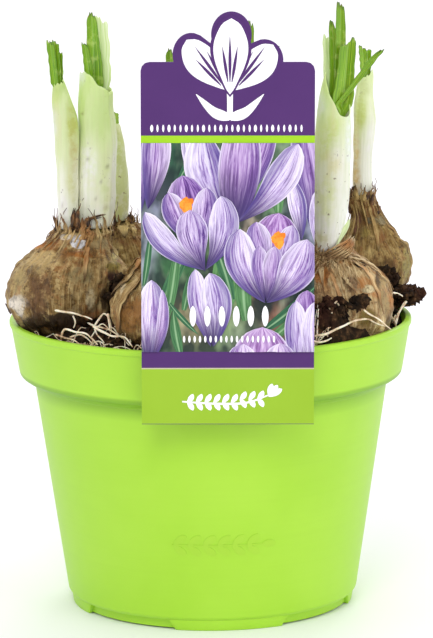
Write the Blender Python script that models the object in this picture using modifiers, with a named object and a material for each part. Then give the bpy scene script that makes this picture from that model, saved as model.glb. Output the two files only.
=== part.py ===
"""Sprouting crocus corms in a collared nursery pot, with a picture label hooked over the rim.

Metres, +Z up. The origin is the centre of the pot's foot circle, on the surface that the pot
stands on, and the label faces -Y. Every piece is one closed body: the pot, the soil, seven
corms, the sheath of each shoot, each leaf, each bract, the roots that lie on the soil, the
label, and the hook on the label's back.
"""

import math

import bmesh
import bpy
from mathutils import Matrix, Vector, noise

MM = 0.001
GAP = 0.3 * MM  # clearance between pieces that rest on each other
MERGE = 0.01 * MM

# Pot: radii and heights of its outer side.
TURN_STEPS = 48
RIM_RADIUS = 60.0 * MM
POT_HEIGHT = 86.2 * MM
LIP_HEIGHT = 1.6 * MM
LIP_PROUD = 0.5 * MM
LIP_WIDTH = 1.8 * MM
COLLAR_RADIUS = 57.3 * MM  # at the collar's lower edge
COLLAR_BOTTOM = 70.5 * MM
SHOULDER_BOTTOM = 67.3 * MM
BODY_RADIUS = 52.7 * MM  # under the shoulder
BASE_RADIUS = 43.4 * MM
BASE_EDGE = 3.2 * MM  # height of the wall's lower edge
WALL = 1.2 * MM
FLOOR_BOTTOM = 3.6 * MM
FLOOR_TOP = 4.8 * MM
SKIRT_RADIUS = 41.2 * MM
SKIRT_BOTTOM = 0.4 * MM
FOOT_COUNT = 4
FOOT_ARC = math.radians(50)
FOOT_SLOPE = 0.12  # share of its arc that a foot loses at each end, from top to bottom
FOOT_TURN = math.radians(7)  # from the label's side round to the first foot's middle
DRAIN_COUNT = 8
DRAIN_RADIUS = 3.5 * MM
DRAIN_CIRCLE = 30.0 * MM

# Soil: a mound on the pot's filling, with heaps as (x, y, height, spread).
SOIL_EDGE = 83.0 * MM
MOUND = 8.0 * MM
SOIL_RADIUS = 57.0 * MM
SOIL_GAP = 0.45 * MM
CRUMB = 0.8 * MM
HEAPS = (
    (50 * MM, 15 * MM, 7.0 * MM, 9 * MM),
    (34 * MM, -38 * MM, 9.0 * MM, 5.5 * MM),
    (-27 * MM, -33 * MM, 3.5 * MM, 9 * MM),
)

# Corms, in millimetres: centre of the widest circle, radius, height of the crown above it,
# the crown's radius, and how far the crown leans from the centre.
CORM_STEPS = 18
CORMS = {
    "corm_left": ((-43.3, -12, 97.8), 16.3, 17.0, 8.6, (6.3, 0)),
    "corm_front": ((-13.6, -38, 95.4), 14.3, 16.6, 5.8, (1, 0)),
    "corm_right": ((37.4, -20.6, 94.5), 15.9, 14.3, 6.0, (-4.0, 0)),
    "corm_back_right": ((49.5, 18, 99.0), 11.5, 21.0, 4.2, (-3.2, 0)),
    "corm_back_left": ((-24, 23, 98.5), 13.5, 13.0, 5.6, (-3.6, -1)),
    "corm_middle": ((9, 3, 97), 14.0, 17.0, 5.8, (0.5, 0)),
    "corm_back": ((12, 38, 96.5), 13.5, 17.0, 8.0, (0.2, 0.4)),
}
DAUGHTER = ("corm_left", (-29.5, -12.5, 101), 5.0)  # the corm it grows on, its centre and radius

# Sheaths, in millimetres: the corm each stands on, and its sections as (x, y, z, radius).
# The first section's z is left to the corm's crown.
SHEATH_SIDES = 10
SHEATH_WALL = 0.45 * MM
SHEATHS = {
    "sheath_left_1": ("corm_left", [(-41.6, -14, 0, 2.7), (-41.6, -14, 130, 3.1),
                                    (-41.7, -14, 146, 3.5), (-43.2, -14, 154.5, 2.5),
                                    (-43.8, -14, 158, 1.9)]),
    "sheath_left_2": ("corm_left", [(-33.6, -10.5, 0, 5.1), (-32.8, -10.5, 128, 5.7),
                                    (-32.5, -10.5, 140, 5.6), (-33.0, -10.5, 150, 4.9),
                                    (-33.3, -10.5, 160, 4.4)]),
    "sheath_back_left": ("corm_back_left", [(-28.3, 21.8, 0, 3.8), (-28.2, 21.8, 124, 4.0),
                                            (-28.2, 21.8, 134, 2.9), (-28.1, 21.8, 141, 1.4)]),
    "sheath_front": ("corm_front", [(-12.6, -38, 0, 4.6), (-12.4, -38, 128, 5.2),
                                    (-12.0, -38, 142, 4.4), (-11.8, -38, 152, 3.4)]),
    "sheath_right": ("corm_right", [(33.4, -22, 0, 4.1), (34.9, -22, 120, 5.5),
                                    (35.7, -22, 136, 5.9), (36.4, -22, 147, 5.4),
                                    (37.2, -22, 154, 4.6)]),
    "sheath_back_right": ("corm_back_right", [(46.3, 18, 0, 3.0), (46.3, 18, 131, 2.8),
                                              (46.9, 18, 142, 3.3), (47.0, 18, 150, 2.7),
                                              (47.3, 18, 156, 1.9)]),
    "sheath_middle": ("corm_middle", [(9.5, 3, 0, 4.6), (9.8, 3, 128, 5.2),
                                      (10.5, 3, 142, 4.6), (11.2, 2.6, 152, 3.4)]),
    "sheath_back_1": ("corm_back", [(8.4, 38.2, 0, 3.4), (8.0, 38.5, 128, 4.0),
                                    (7.0, 39, 142, 3.6), (6.4, 39.2, 152, 2.6)]),
    "sheath_back_2": ("corm_back", [(16.3, 38.6, 0, 3.2), (16.9, 39, 126, 3.8),
                                    (17.9, 39.5, 138, 3.3), (18.7, 40, 147, 2.4)]),
}

# Leaves and bracts, in millimetres: the sheath each grows through, its tip, and half its
# greatest width. Those of one sheath lie one behind the other, in the order given.
LEAF_THICKNESS = 0.4 * MM
LEAF_SPACING = 0.85 * MM
STALK_HALF_WIDTH = 0.4 * MM
LEAF_FOLD = 0.15  # how far the edges stand forward of the midrib, as a share of the half width
LEAVES = {
    "leaf_left_1": ("sheath_left_1", (-46.3, -14.8, 170.2), 1.2),
    "leaf_left_2": ("sheath_left_1", (-44.6, -14.0, 170.9), 1.3),
    "leaf_left_3": ("sheath_left_1", (-42.6, -13.2, 168.0), 1.1),
    "leaf_left_4": ("sheath_left_2", (-36.6, -12.0, 165.0), 1.2),
    "leaf_left_5": ("sheath_left_2", (-33.9, -10.6, 178.4), 2.3),
    "bract_left": ("sheath_left_2", (-30.8, -9.2, 176.5), 2.1),
    "leaf_back_left": ("sheath_back_left", (-28.1, 21.8, 144.6), 0.8),
    "leaf_front_1": ("sheath_front", (-8.6, -39.4, 163.0), 1.2),
    "leaf_front_2": ("sheath_front", (-10.9, -38.0, 172.0), 1.4),
    "leaf_front_3": ("sheath_front", (-14.0, -36.6, 166.0), 1.2),
    "leaf_right_1": ("sheath_right", (50.1, -24.2, 168.5), 1.3),
    "leaf_right_2": ("sheath_right", (41.7, -23.1, 171.2), 2.7),
    "leaf_right_3": ("sheath_right", (38.6, -22.0, 181.9), 1.9),
    "leaf_right_4": ("sheath_right", (35.6, -21.0, 176.6), 1.3),
    "bract_right": ("sheath_right", (34.2, -19.9, 172.6), 1.6),
    "leaf_back_right_1": ("sheath_back_right", (46.0, 17.5, 164.6), 1.3),
    "leaf_back_right_2": ("sheath_back_right", (48.4, 18.5, 163.4), 1.1),
    "leaf_middle_1": ("sheath_middle", (9.0, 1.6, 167.0), 1.2),
    "leaf_middle_2": ("sheath_middle", (12.7, 2.4, 174.1), 1.4),
    "leaf_middle_3": ("sheath_middle", (14.6, 3.6, 165.0), 1.2),
    "leaf_back_1": ("sheath_back_1", (8.4, 37.8, 165.0), 1.2),
    "leaf_back_2": ("sheath_back_1", (5.0, 39.4, 172.0), 1.4),
    "leaf_back_3": ("sheath_back_1", (2.6, 40.9, 162.0), 1.2),
    "leaf_back_4": ("sheath_back_2", (17.4, 39.5, 159.0), 1.2),
    "leaf_back_5": ("sheath_back_2", (20.8, 40.8, 163.0), 1.3),
}

# Roots that lie on the soil, in millimetres: the points that each passes through.
ROOT_RADIUS = 0.45 * MM
ROOTS = {
    "root_left_1": [(-45.3, -30, 93.4), (-42, -31.5, 93.2), (-37.8, -34, 92.9), (-34, -38, 92)],
    "root_left_2": [(-43.4, -36.8, 85.9), (-42.3, -37, 88.9), (-38.8, -40, 88.8),
                    (-35.5, -43, 88.6), (-32.5, -46, 86.2)],
    "root_left_3": [(-33.8, -41, 90.6), (-28.7, -44.5, 88.8), (-24.1, -48, 88.4),
                    (-22.3, -50.6, 86.2)],
    "root_left_4": [(-29.6, -37, 93.5), (-29.2, -39, 91.4), (-29.2, -40.6, 89)],
    "root_right_1": [(29.9, -47.5, 88.3), (33.8, -45.5, 88.9), (39.9, -40.5, 91),
                     (44.6, -37.2, 91.6), (47.8, -33.8, 90), (50.6, -28.4, 87.6)],
    "root_right_2": [(28, -49.2, 88.4), (31.2, -48.1, 86.6), (34.9, -45, 87.4)],
    "root_right_3": [(58.7, -2, 90.6), (57, -4, 89), (54.6, -15.6, 86.4)],
    "root_back": [(-34, 40, 86.4), (-26, 44, 89), (-15, 48, 88.6), (-8, 52, 86)],
}

# Label: a card with a hump of three lobes at its top. Its own x runs across, its y runs up.
LABEL_HALF_WIDTH = 24.5 * MM
LABEL_HEIGHT = 103.7 * MM  # up to the shoulders
LABEL_THICKNESS = 0.6 * MM
LABEL_CORNER = 2.5 * MM
LABEL_MIDDLE = Vector((4.8 * MM, -60.7 * MM, 65.7 * MM))  # middle of the lower edge
LABEL_TILT = math.radians(0.4)
HUMP_MIDDLE = Vector((0.6 * MM, 103.7 * MM))  # what the hump's outline is drawn round
LOBES = (  # the hump's three lobes as ellipses: centre, half width, half height
    ((-10.2 * MM, 105.7 * MM), 5.3 * MM, 6.2 * MM),
    ((1.0 * MM, 111.4 * MM), 5.7 * MM, 6.5 * MM),
    ((10.2 * MM, 104.2 * MM), 5.4 * MM, 5.9 * MM),
)

# Hook: a bent strip, as (y, z) along its middle, from the label's back over the rim.
HOOK_HALF_WIDTH = 6.0 * MM
HOOK_THICKNESS = 0.7 * MM
HOOK_LINE = [(-59.7, 101), (-59.7, 88.2), (-59.2, 87.4), (-56.9, 87.4), (-56.0, 86.8), (-54, 73)]
HOOK_SLOT = (-58.0 * MM, -53.3 * MM)  # front and back of the slot in the soil

COLOURS = {
    "pot": ((0.43, 0.78, 0.04), 0.45),
    "soil": ((0.03, 0.016, 0.01), 0.95),
    "corm": ((0.36, 0.22, 0.09), 0.8),
    "sheath": ((0.80, 0.84, 0.60), 0.5),
    "bract": ((0.62, 0.75, 0.34), 0.5),
    "leaf": ((0.16, 0.42, 0.03), 0.45),
    "root": ((0.78, 0.66, 0.48), 0.6),
    "label": ((0.12, 0.04, 0.18), 0.35),
    "hook": ((0.9, 0.9, 0.88), 0.4),
}


def clear_scene():
    for obj in list(bpy.data.objects):
        bpy.data.objects.remove(obj)


def new_collection(name):
    collection = bpy.data.collections.new(name)
    bpy.context.scene.collection.children.link(collection)
    return collection


def material(kind):
    found = bpy.data.materials.get(kind)
    if found:
        return found
    colour, roughness = COLOURS[kind]
    made = bpy.data.materials.new(kind)
    made.use_nodes = True
    shader = made.node_tree.nodes["Principled BSDF"]
    shader.inputs["Base Color"].default_value = (*colour, 1)
    shader.inputs["Roughness"].default_value = roughness
    shader.inputs["Metallic"].default_value = 0
    return made


def add_object(name, data, collection, kind=None):
    obj = bpy.data.objects.new(name, data)
    collection.objects.link(obj)
    if kind:
        obj.data.materials.append(material(kind))
    return obj


def mesh_from(name, bm):
    mesh = bpy.data.meshes.new(name)
    bm.to_mesh(mesh)
    bm.free()
    return mesh


def as_cutter(obj):
    obj.hide_render = True
    obj.display_type = "WIRE"


def turned_mesh(name, outline, steps):
    """The mesh that a Screw modifier makes of an outline of (radius, height) points."""
    line = bmesh.new()
    points = [line.verts.new((radius, 0, height)) for radius, height in outline]
    for first, second in zip(points, points[1:]):
        line.edges.new((first, second))
    obj = add_object(name, mesh_from(name, line), bpy.context.scene.collection)
    screw = obj.modifiers.new("Turn", "SCREW")
    screw.steps = screw.render_steps = steps
    screw.use_merge_vertices = True
    screw.merge_threshold = MERGE
    graph = bpy.context.evaluated_depsgraph_get()
    mesh = bpy.data.meshes.new_from_object(obj.evaluated_get(graph))
    bpy.data.objects.remove(obj)
    bm = bmesh.new()
    bm.from_mesh(mesh)
    bmesh.ops.remove_doubles(bm, verts=bm.verts, dist=MERGE)
    bm.to_mesh(mesh)
    bm.free()
    return mesh


def boolean(obj, operation, collection):
    modifier = obj.modifiers.new(operation.title(), "BOOLEAN")
    modifier.operation = operation
    modifier.operand_type = "COLLECTION"
    modifier.collection = collection


def add_pot(parts):
    outline = [
        (0, FLOOR_TOP),
        (BASE_RADIUS - WALL - 2 * MM, FLOOR_TOP),
        (BASE_RADIUS - WALL + 0.3 * MM, FLOOR_TOP + 2 * MM),
        (BODY_RADIUS - WALL, SHOULDER_BOTTOM + 0.6 * MM),
        (COLLAR_RADIUS - WALL, COLLAR_BOTTOM + 0.8 * MM),
        (RIM_RADIUS - LIP_WIDTH, POT_HEIGHT),
        (RIM_RADIUS - 0.3 * MM, POT_HEIGHT),
        (RIM_RADIUS, POT_HEIGHT - 0.3 * MM),
        (RIM_RADIUS, POT_HEIGHT - LIP_HEIGHT),
        (RIM_RADIUS - LIP_PROUD, POT_HEIGHT - LIP_HEIGHT - 0.4 * MM),
        (COLLAR_RADIUS, COLLAR_BOTTOM),
        (COLLAR_RADIUS - 1.6 * MM, COLLAR_BOTTOM - 1.5 * MM),
        (BODY_RADIUS, SHOULDER_BOTTOM),
        (BASE_RADIUS, BASE_EDGE + 1 * MM),
        (BASE_RADIUS - 0.8 * MM, BASE_EDGE),
        (SKIRT_RADIUS, BASE_EDGE),
        (SKIRT_RADIUS - 0.3 * MM, SKIRT_BOTTOM),
        (SKIRT_RADIUS - 1.5 * MM, SKIRT_BOTTOM),
        (SKIRT_RADIUS - 1.9 * MM, FLOOR_BOTTOM),
        (0, FLOOR_BOTTOM),
    ]
    pot = add_object("pot", turned_mesh("pot", outline, TURN_STEPS), parts, "pot")
    feet = new_collection("pot_feet")
    for number in range(FOOT_COUNT):
        add_foot(feet, FOOT_TURN + number * math.tau / FOOT_COUNT)
    boolean(pot, "UNION", feet)
    drains = new_collection("pot_drains")
    for number in range(DRAIN_COUNT):
        angle = number * math.tau / DRAIN_COUNT
        bm = bmesh.new()
        bmesh.ops.create_cone(bm, cap_ends=True, segments=10, depth=6 * MM,
                              radius1=DRAIN_RADIUS, radius2=DRAIN_RADIUS)
        drain = add_object(f"drain_{number + 1}", mesh_from("drain", bm), drains)
        drain.location = (DRAIN_CIRCLE * math.sin(angle), DRAIN_CIRCLE * math.cos(angle), 4.2 * MM)
        as_cutter(drain)
    boolean(pot, "DIFFERENCE", drains)
    pot.data.shade_smooth()
    pot.data.set_sharp_from_angle(angle=math.radians(30))


def add_foot(collection, turn):
    """An arc under the wall's edge, longer at its top than at its flat bottom."""
    inner, outer = SKIRT_RADIUS - 1.0 * MM, SKIRT_RADIUS + 1.3 * MM
    steps = 7
    bm = bmesh.new()
    corners = [(inner, 0), (outer - 0.3 * MM, 0), (outer, BASE_EDGE + 0.4 * MM),
               (inner, BASE_EDGE + 0.4 * MM)]
    section = bm.faces.new([bm.verts.new((0, -radius, height)) for radius, height in corners])
    bmesh.ops.rotate(bm, verts=section.verts, cent=(0, 0, 0),
                     matrix=Matrix.Rotation(-FOOT_ARC / 2, 3, "Z"))
    bmesh.ops.spin(bm, geom=[section, *section.edges, *section.verts], cent=(0, 0, 0),
                   axis=(0, 0, 1), angle=FOOT_ARC, steps=steps, use_merge=False)
    for vert in bm.verts:
        angle = math.atan2(vert.co.x, -vert.co.y)
        if vert.co.z < BASE_EDGE / 2:
            vert.co = Matrix.Rotation(-angle * FOOT_SLOPE, 3, "Z") @ vert.co
    bmesh.ops.recalc_face_normals(bm, faces=bm.faces)
    foot = add_object(f"foot_{len(collection.objects) + 1}", mesh_from("foot", bm), collection)
    foot.rotation_euler.z = turn
    as_cutter(foot)


def soil_height(x, y):
    """Height of the soil's top before anything is pressed into it."""
    share = min(1, math.hypot(x, y) / SOIL_RADIUS)
    height = SOIL_EDGE + MOUND * (1 - share**3)
    for heap_x, heap_y, rise, spread in HEAPS:
        distance = math.hypot(x - heap_x, y - heap_y)
        height += rise * math.exp(-((distance / spread) ** 2))
    return height + CRUMB * noise.noise(Vector((x, y, 0)) * 140)


def add_soil(parts):
    slope = (BODY_RADIUS - BASE_RADIUS) / (SHOULDER_BOTTOM - BASE_EDGE)
    base = FLOOR_TOP + GAP
    rings = 9
    top = [(SOIL_RADIUS * ring / rings, SOIL_EDGE) for ring in range(rings + 1)]
    outline = [
        *top,
        (COLLAR_RADIUS - WALL - SOIL_GAP, COLLAR_BOTTOM + 1.2 * MM),
        (BODY_RADIUS - WALL - SOIL_GAP, SHOULDER_BOTTOM + 0.6 * MM),
        (BASE_RADIUS - WALL - SOIL_GAP + 2 * MM * slope, FLOOR_TOP + 2.4 * MM),
        (BASE_RADIUS - WALL - 2.6 * MM, base),
        (0, base),
    ]
    mesh = turned_mesh("soil", outline, TURN_STEPS)
    for vert in mesh.vertices:
        if vert.co.z > SOIL_EDGE - MERGE:
            vert.co.z = soil_height(vert.co.x, vert.co.y)
    soil = add_object("soil", mesh, parts, "soil")
    sockets = new_collection("soil_sockets")
    for name in CORMS:
        as_cutter(add_object(f"socket_{name}", corm_mesh(name, GAP), sockets))
    bm = bmesh.new()
    bmesh.ops.create_cube(bm, size=1)
    slot = add_object("slot_hook", mesh_from("slot_hook", bm), sockets)
    front, back = HOOK_SLOT
    bottom = HOOK_LINE[-1][1] * MM - GAP
    slot.scale = (2 * HOOK_HALF_WIDTH + 2 * GAP, back - front, POT_HEIGHT + MOUND - bottom)
    slot.location = (LABEL_MIDDLE.x, (front + back) / 2, (POT_HEIGHT + MOUND + bottom) / 2)
    as_cutter(slot)
    boolean(soil, "DIFFERENCE", sockets)


def corm_mesh(name, grown=0.0):
    """A squat globe drawn up into a flat crown, pushed out all round by grown."""
    centre, radius, crown_height, crown_radius, lean = CORMS[name]
    size = radius * MM + grown
    crown = crown_radius * MM + grown
    height = crown_height * MM + grown
    outline = [
        (0, height),
        (crown, height),
        (0.46 * crown + 0.36 * size, 0.5 * height + 0.36 * size),
        (0.72 * size, 0.66 * size),
        (0.92 * size, 0.36 * size),
        (size, -0.02 * size),
        (0.93 * size, -0.42 * size),
        (0.73 * size, -0.72 * size),
        (0.42 * size, -0.92 * size),
        (0, -0.95 * size),
    ]
    mesh = turned_mesh(name, outline, CORM_STEPS)
    offset = Vector(lean).to_3d() * MM
    for vert in mesh.vertices:
        share = max(0, vert.co.z / height)
        vert.co += offset * share**1.5 + Vector(centre) * MM
    return mesh


def add_corms(parts):
    for name in CORMS:
        corm = add_object(name, corm_mesh(name), parts, "corm")
        corm.data.shade_smooth()
    parent, centre, radius = DAUGHTER
    bm = bmesh.new()
    bmesh.ops.create_icosphere(bm, subdivisions=2, radius=radius * MM)
    offsets = new_collection("corm_offsets")
    bulge = add_object("daughter_bulge", mesh_from("daughter_bulge", bm), offsets)
    bulge.location = Vector(centre) * MM
    as_cutter(bulge)
    boolean(bpy.data.objects[parent], "UNION", offsets)


def crown_top(corm):
    centre, _, crown_height, _, _ = CORMS[corm]
    return (centre[2] + crown_height) * MM


def sheath_sections(name):
    """The sheath's sections as (centre, radius), the first one standing on its corm."""
    corm, sections = SHEATHS[name]
    found = [(Vector((x, y, z)) * MM, radius * MM) for x, y, z, radius in sections]
    found[0][0].z = crown_top(corm) + GAP
    return found


def add_sheaths(parts):
    for name in SHEATHS:
        bm = bmesh.new()
        ring = bmesh.ops.create_circle(bm, segments=SHEATH_SIDES, radius=1)["verts"]
        place_ring(ring, *sheath_sections(name)[0])
        edges = list({edge for vert in ring for edge in vert.link_edges})
        for centre, radius in sheath_sections(name)[1:]:
            made = bmesh.ops.extrude_edge_only(bm, edges=edges)["geom"]
            ring = [item for item in made if isinstance(item, bmesh.types.BMVert)]
            edges = [item for item in made if isinstance(item, bmesh.types.BMEdge)]
            place_ring(ring, centre, radius)
        bmesh.ops.recalc_face_normals(bm, faces=bm.faces)
        sheath = add_object(name, mesh_from(name, bm), parts, "sheath")
        wall = sheath.modifiers.new("Wall", "SOLIDIFY")
        wall.thickness = SHEATH_WALL
        wall.offset = -1
        sheath.data.shade_smooth()


def place_ring(ring, centre, radius):
    """Moves a ring of verts to a level circle, keeping each vert's direction."""
    middle = sum((vert.co for vert in ring), Vector()) / len(ring)
    for vert in ring:
        vert.co = centre + (vert.co - middle).normalized() * radius


def leaf_line(name):
    """Points from the corm's crown to the leaf's tip, each with the leaf's half width there."""
    sheath, tip, widest = LEAVES[name]
    mates = [leaf for leaf, facts in LEAVES.items() if facts[0] == sheath]
    back = (mates.index(name) - (len(mates) - 1) / 2) * LEAF_SPACING
    inside = [centre + Vector((0, back, 0)) for centre, _ in sheath_sections(sheath)]
    inside[0].z += GAP
    line = [(point, STALK_HALF_WIDTH) for point in inside]
    mouth, end = inside[-1], Vector(tip) * MM
    rise = (inside[-1] - inside[-2]).normalized()
    bend = mouth + rise * (end - mouth).length * 0.5
    for share, width in ((0.18, 0.62), (0.42, 1.0), (0.7, 0.8), (0.9, 0.42), (1.0, 0.12)):
        point = mouth.lerp(bend, share).lerp(bend.lerp(end, share), share)
        line.append((point, width * widest * MM))
    return line


def add_leaves(parts):
    for name in LEAVES:
        line = leaf_line(name)
        bm = bmesh.new()
        first, width = line[0]
        row = [bm.verts.new(spot) for spot in leaf_row(first, width)]
        edges = [bm.edges.new(pair) for pair in zip(row, row[1:])]
        for point, width in line[1:]:
            made = bmesh.ops.extrude_edge_only(bm, edges=edges)["geom"]
            row = [item for item in made if isinstance(item, bmesh.types.BMVert)]
            edges = [item for item in made if isinstance(item, bmesh.types.BMEdge)]
            row.sort(key=lambda vert: vert.co.x)
            for vert, spot in zip(row, leaf_row(point, width)):
                vert.co = spot
        bmesh.ops.recalc_face_normals(bm, faces=bm.faces)
        kind = "bract" if name.startswith("bract") else "leaf"
        leaf = add_object(name, mesh_from(name, bm), parts, kind)
        blade = leaf.modifiers.new("Blade", "SOLIDIFY")
        blade.thickness = LEAF_THICKNESS
        blade.offset = 0
        leaf.data.shade_smooth()


def leaf_row(point, half_width):
    """Left edge, midrib and right edge of a leaf: the edges stand forward of the midrib."""
    edge = Vector((half_width, -half_width * LEAF_FOLD, 0))
    return point + edge * Vector((-1, 1, 1)), point, point + edge


def add_roots(parts):
    for name, points in ROOTS.items():
        curve = bpy.data.curves.new(name, "CURVE")
        curve.dimensions = "3D"
        curve.resolution_u = 4
        curve.bevel_depth = ROOT_RADIUS
        curve.bevel_resolution = 0
        curve.use_fill_caps = True
        spline = curve.splines.new("BEZIER")
        spline.bezier_points.add(len(points) - 1)
        for knot, point in zip(spline.bezier_points, points):
            knot.co = Vector(point) * MM
            knot.handle_left_type = knot.handle_right_type = "AUTO"
        add_object(name, curve, parts, "root")


def label_outline():
    """The card's outline from the lower left corner, round the top, to the lower right."""
    points = [(-LABEL_HALF_WIDTH, 0.0)]
    corner_x, corner_y = LABEL_HALF_WIDTH - LABEL_CORNER, LABEL_HEIGHT - LABEL_CORNER
    corner = [(corner_x + LABEL_CORNER * math.cos(angle), corner_y + LABEL_CORNER * math.sin(angle))
              for angle in (0, math.radians(30), math.radians(60), math.radians(90))]
    points += [(-x, y) for x, y in corner]
    steps = 60
    for number in range(steps + 1):
        angle = math.pi * (1 - number / steps)
        away = Vector((math.cos(angle), math.sin(angle)))
        points.append(tuple(HUMP_MIDDLE + away * hump_reach(away)))
    points += reversed(corner)
    points.append((LABEL_HALF_WIDTH, 0.0))
    return points


def hump_reach(away):
    """How far the hump reaches from its middle in one direction: to the outermost lobe."""
    found = 0.0
    for (x, y), half_width, half_height in LOBES:
        back = HUMP_MIDDLE - Vector((x, y))
        square = (away.x / half_width) ** 2 + (away.y / half_height) ** 2
        half = away.x * back.x / half_width**2 + away.y * back.y / half_height**2
        rest = (back.x / half_width) ** 2 + (back.y / half_height) ** 2 - 1
        inside = half * half - square * rest
        if inside > 0:
            found = max(found, (math.sqrt(inside) - half) / square)
    return found


def add_label(parts):
    curve = bpy.data.curves.new("label", "CURVE")
    curve.dimensions = "2D"
    curve.fill_mode = "BOTH"
    curve.extrude = LABEL_THICKNESS / 2
    outline = label_outline()
    spline = curve.splines.new("POLY")
    spline.points.add(len(outline) - 1)
    spline.use_cyclic_u = True
    for point, (x, y) in zip(spline.points, outline):
        point.co = (x, y, 0, 1)
    label = add_object("label", curve, parts, "label")
    label.rotation_euler = (math.pi / 2, LABEL_TILT, 0)
    label.location = LABEL_MIDDLE


def add_hook(parts):
    bm = bmesh.new()
    left, right = (LABEL_MIDDLE.x + side * HOOK_HALF_WIDTH for side in (-1, 1))
    rows = [[bm.verts.new((x, y * MM, z * MM)) for x in (left, right)] for y, z in HOOK_LINE]
    for lower, upper in zip(rows, rows[1:]):
        bm.faces.new((*lower, *reversed(upper)))
    bmesh.ops.recalc_face_normals(bm, faces=bm.faces)
    hook = add_object("label_hook", mesh_from("label_hook", bm), parts, "hook")
    strip = hook.modifiers.new("Strip", "SOLIDIFY")
    strip.thickness = HOOK_THICKNESS
    strip.offset = 0
    strip.use_even_offset = True


def main():
    clear_scene()
    parts = new_collection("potted_crocus")
    add_pot(parts)
    add_soil(parts)
    add_corms(parts)
    add_sheaths(parts)
    add_leaves(parts)
    add_roots(parts)
    add_label(parts)
    add_hook(parts)


main()
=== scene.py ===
"""A nursery pot of sprouting crocus corms, with a picture label hooked over its rim.

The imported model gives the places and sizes. This script makes the surfaces that show.
"""

import math
import random
from functools import cache

import bmesh
import bpy
from mathutils import Matrix, Vector, noise
from mathutils.bvhtree import BVHTree


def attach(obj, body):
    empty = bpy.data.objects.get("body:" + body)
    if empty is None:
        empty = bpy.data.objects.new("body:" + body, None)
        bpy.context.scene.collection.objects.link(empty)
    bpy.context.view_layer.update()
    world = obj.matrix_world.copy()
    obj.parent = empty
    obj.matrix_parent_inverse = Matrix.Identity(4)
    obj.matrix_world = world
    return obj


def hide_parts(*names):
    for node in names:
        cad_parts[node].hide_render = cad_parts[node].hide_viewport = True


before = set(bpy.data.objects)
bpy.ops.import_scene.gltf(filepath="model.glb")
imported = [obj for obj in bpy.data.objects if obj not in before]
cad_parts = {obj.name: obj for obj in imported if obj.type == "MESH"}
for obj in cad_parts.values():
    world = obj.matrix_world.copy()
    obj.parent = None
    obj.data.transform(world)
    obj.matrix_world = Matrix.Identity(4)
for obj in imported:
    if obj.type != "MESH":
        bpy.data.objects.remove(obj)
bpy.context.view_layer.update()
MM = 0.001
UP = Vector((0, 0, 1))
ACROSS = Vector((1, 0, 0))
random.seed(12)


# ---------------------------------------------------------------- camera, light and floor

LENS = 229.8  # mm, on a 36 mm sensor
CAMERA_TARGET = Vector((1.8, 0, 85.1)) * MM
CAMERA_DISTANCE = 1.217
CAMERA_PITCH = math.radians(10.3)
CAMERA_ROLL = math.radians(-0.439)
FLOOR_SIDE = 12.0
ROOM_GLOW = 0.88
LIGHTS = (  # name, place and side in metres, and power in watts
    ("key", (-0.2, -1.05, 0.95), 0.45, 5.1),
    ("fill", (0.9, -0.8, 0.45), 0.6, 2.3),
    ("back", (0.3, 1.1, 0.9), 0.6, 3.0),
    ("floor_wash", (0, 4.2, 2.6), 4.0, 60.0),
)
FACING_DOWN = (1, 0, 0, 0)


def add_camera():
    data = bpy.data.cameras.new("camera")
    data.lens = LENS
    camera = bpy.data.objects.new("camera", data)
    bpy.context.scene.collection.objects.link(camera)
    turn = Matrix.Rotation(math.pi / 2 - CAMERA_PITCH, 4, "X")
    camera.matrix_world = turn @ Matrix.Rotation(CAMERA_ROLL, 4, "Z")
    ahead = Vector((0, math.cos(CAMERA_PITCH), -math.sin(CAMERA_PITCH)))
    camera.location = CAMERA_TARGET - ahead * CAMERA_DISTANCE
    bpy.context.scene.camera = camera


def add_light(name, place, side, power):
    """A square soft box that faces the middle of the plant."""
    data = bpy.data.lights.new(name, "AREA")
    data.size = side
    data.energy = power
    lamp = bpy.data.objects.new(name, data)
    bpy.context.scene.collection.objects.link(lamp)
    lamp.location = place
    lamp.rotation_mode = "QUATERNION"
    lamp.rotation_quaternion = (Vector(place) - CAMERA_TARGET).to_track_quat("Z", "Y")
    return lamp


def add_studio():
    world = bpy.data.worlds.new("studio")
    world.use_nodes = True
    world.node_tree.nodes["Background"].inputs["Color"].default_value = (1, 1, 1, 1)
    world.node_tree.nodes["Background"].inputs["Strength"].default_value = ROOM_GLOW
    bpy.context.scene.world = world
    bpy.context.scene.view_settings.view_transform = "Standard"
    lamps = {name: add_light(name, place, side, power) for name, place, side, power in LIGHTS}
    lamps["floor_wash"].rotation_quaternion = FACING_DOWN
    bpy.ops.mesh.primitive_plane_add(size=FLOOR_SIDE)
    floor = bpy.context.object
    floor.name = "floor"
    paper = Finish("floor_paper", {"Base Color": (0.93, 0.92, 0.96, 1), "Roughness": 0.9})
    floor.data.materials.append(paper.material)


# ---------------------------------------------------------------- finishes


def srgb(red, green, blue):
    """The linear colour of an 8-bit one."""
    parts = (c / 255 for c in (red, green, blue))
    return (*(p / 12.92 if p < 0.04 else ((p + 0.055) / 1.055) ** 2.4 for p in parts), 1.0)


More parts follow.
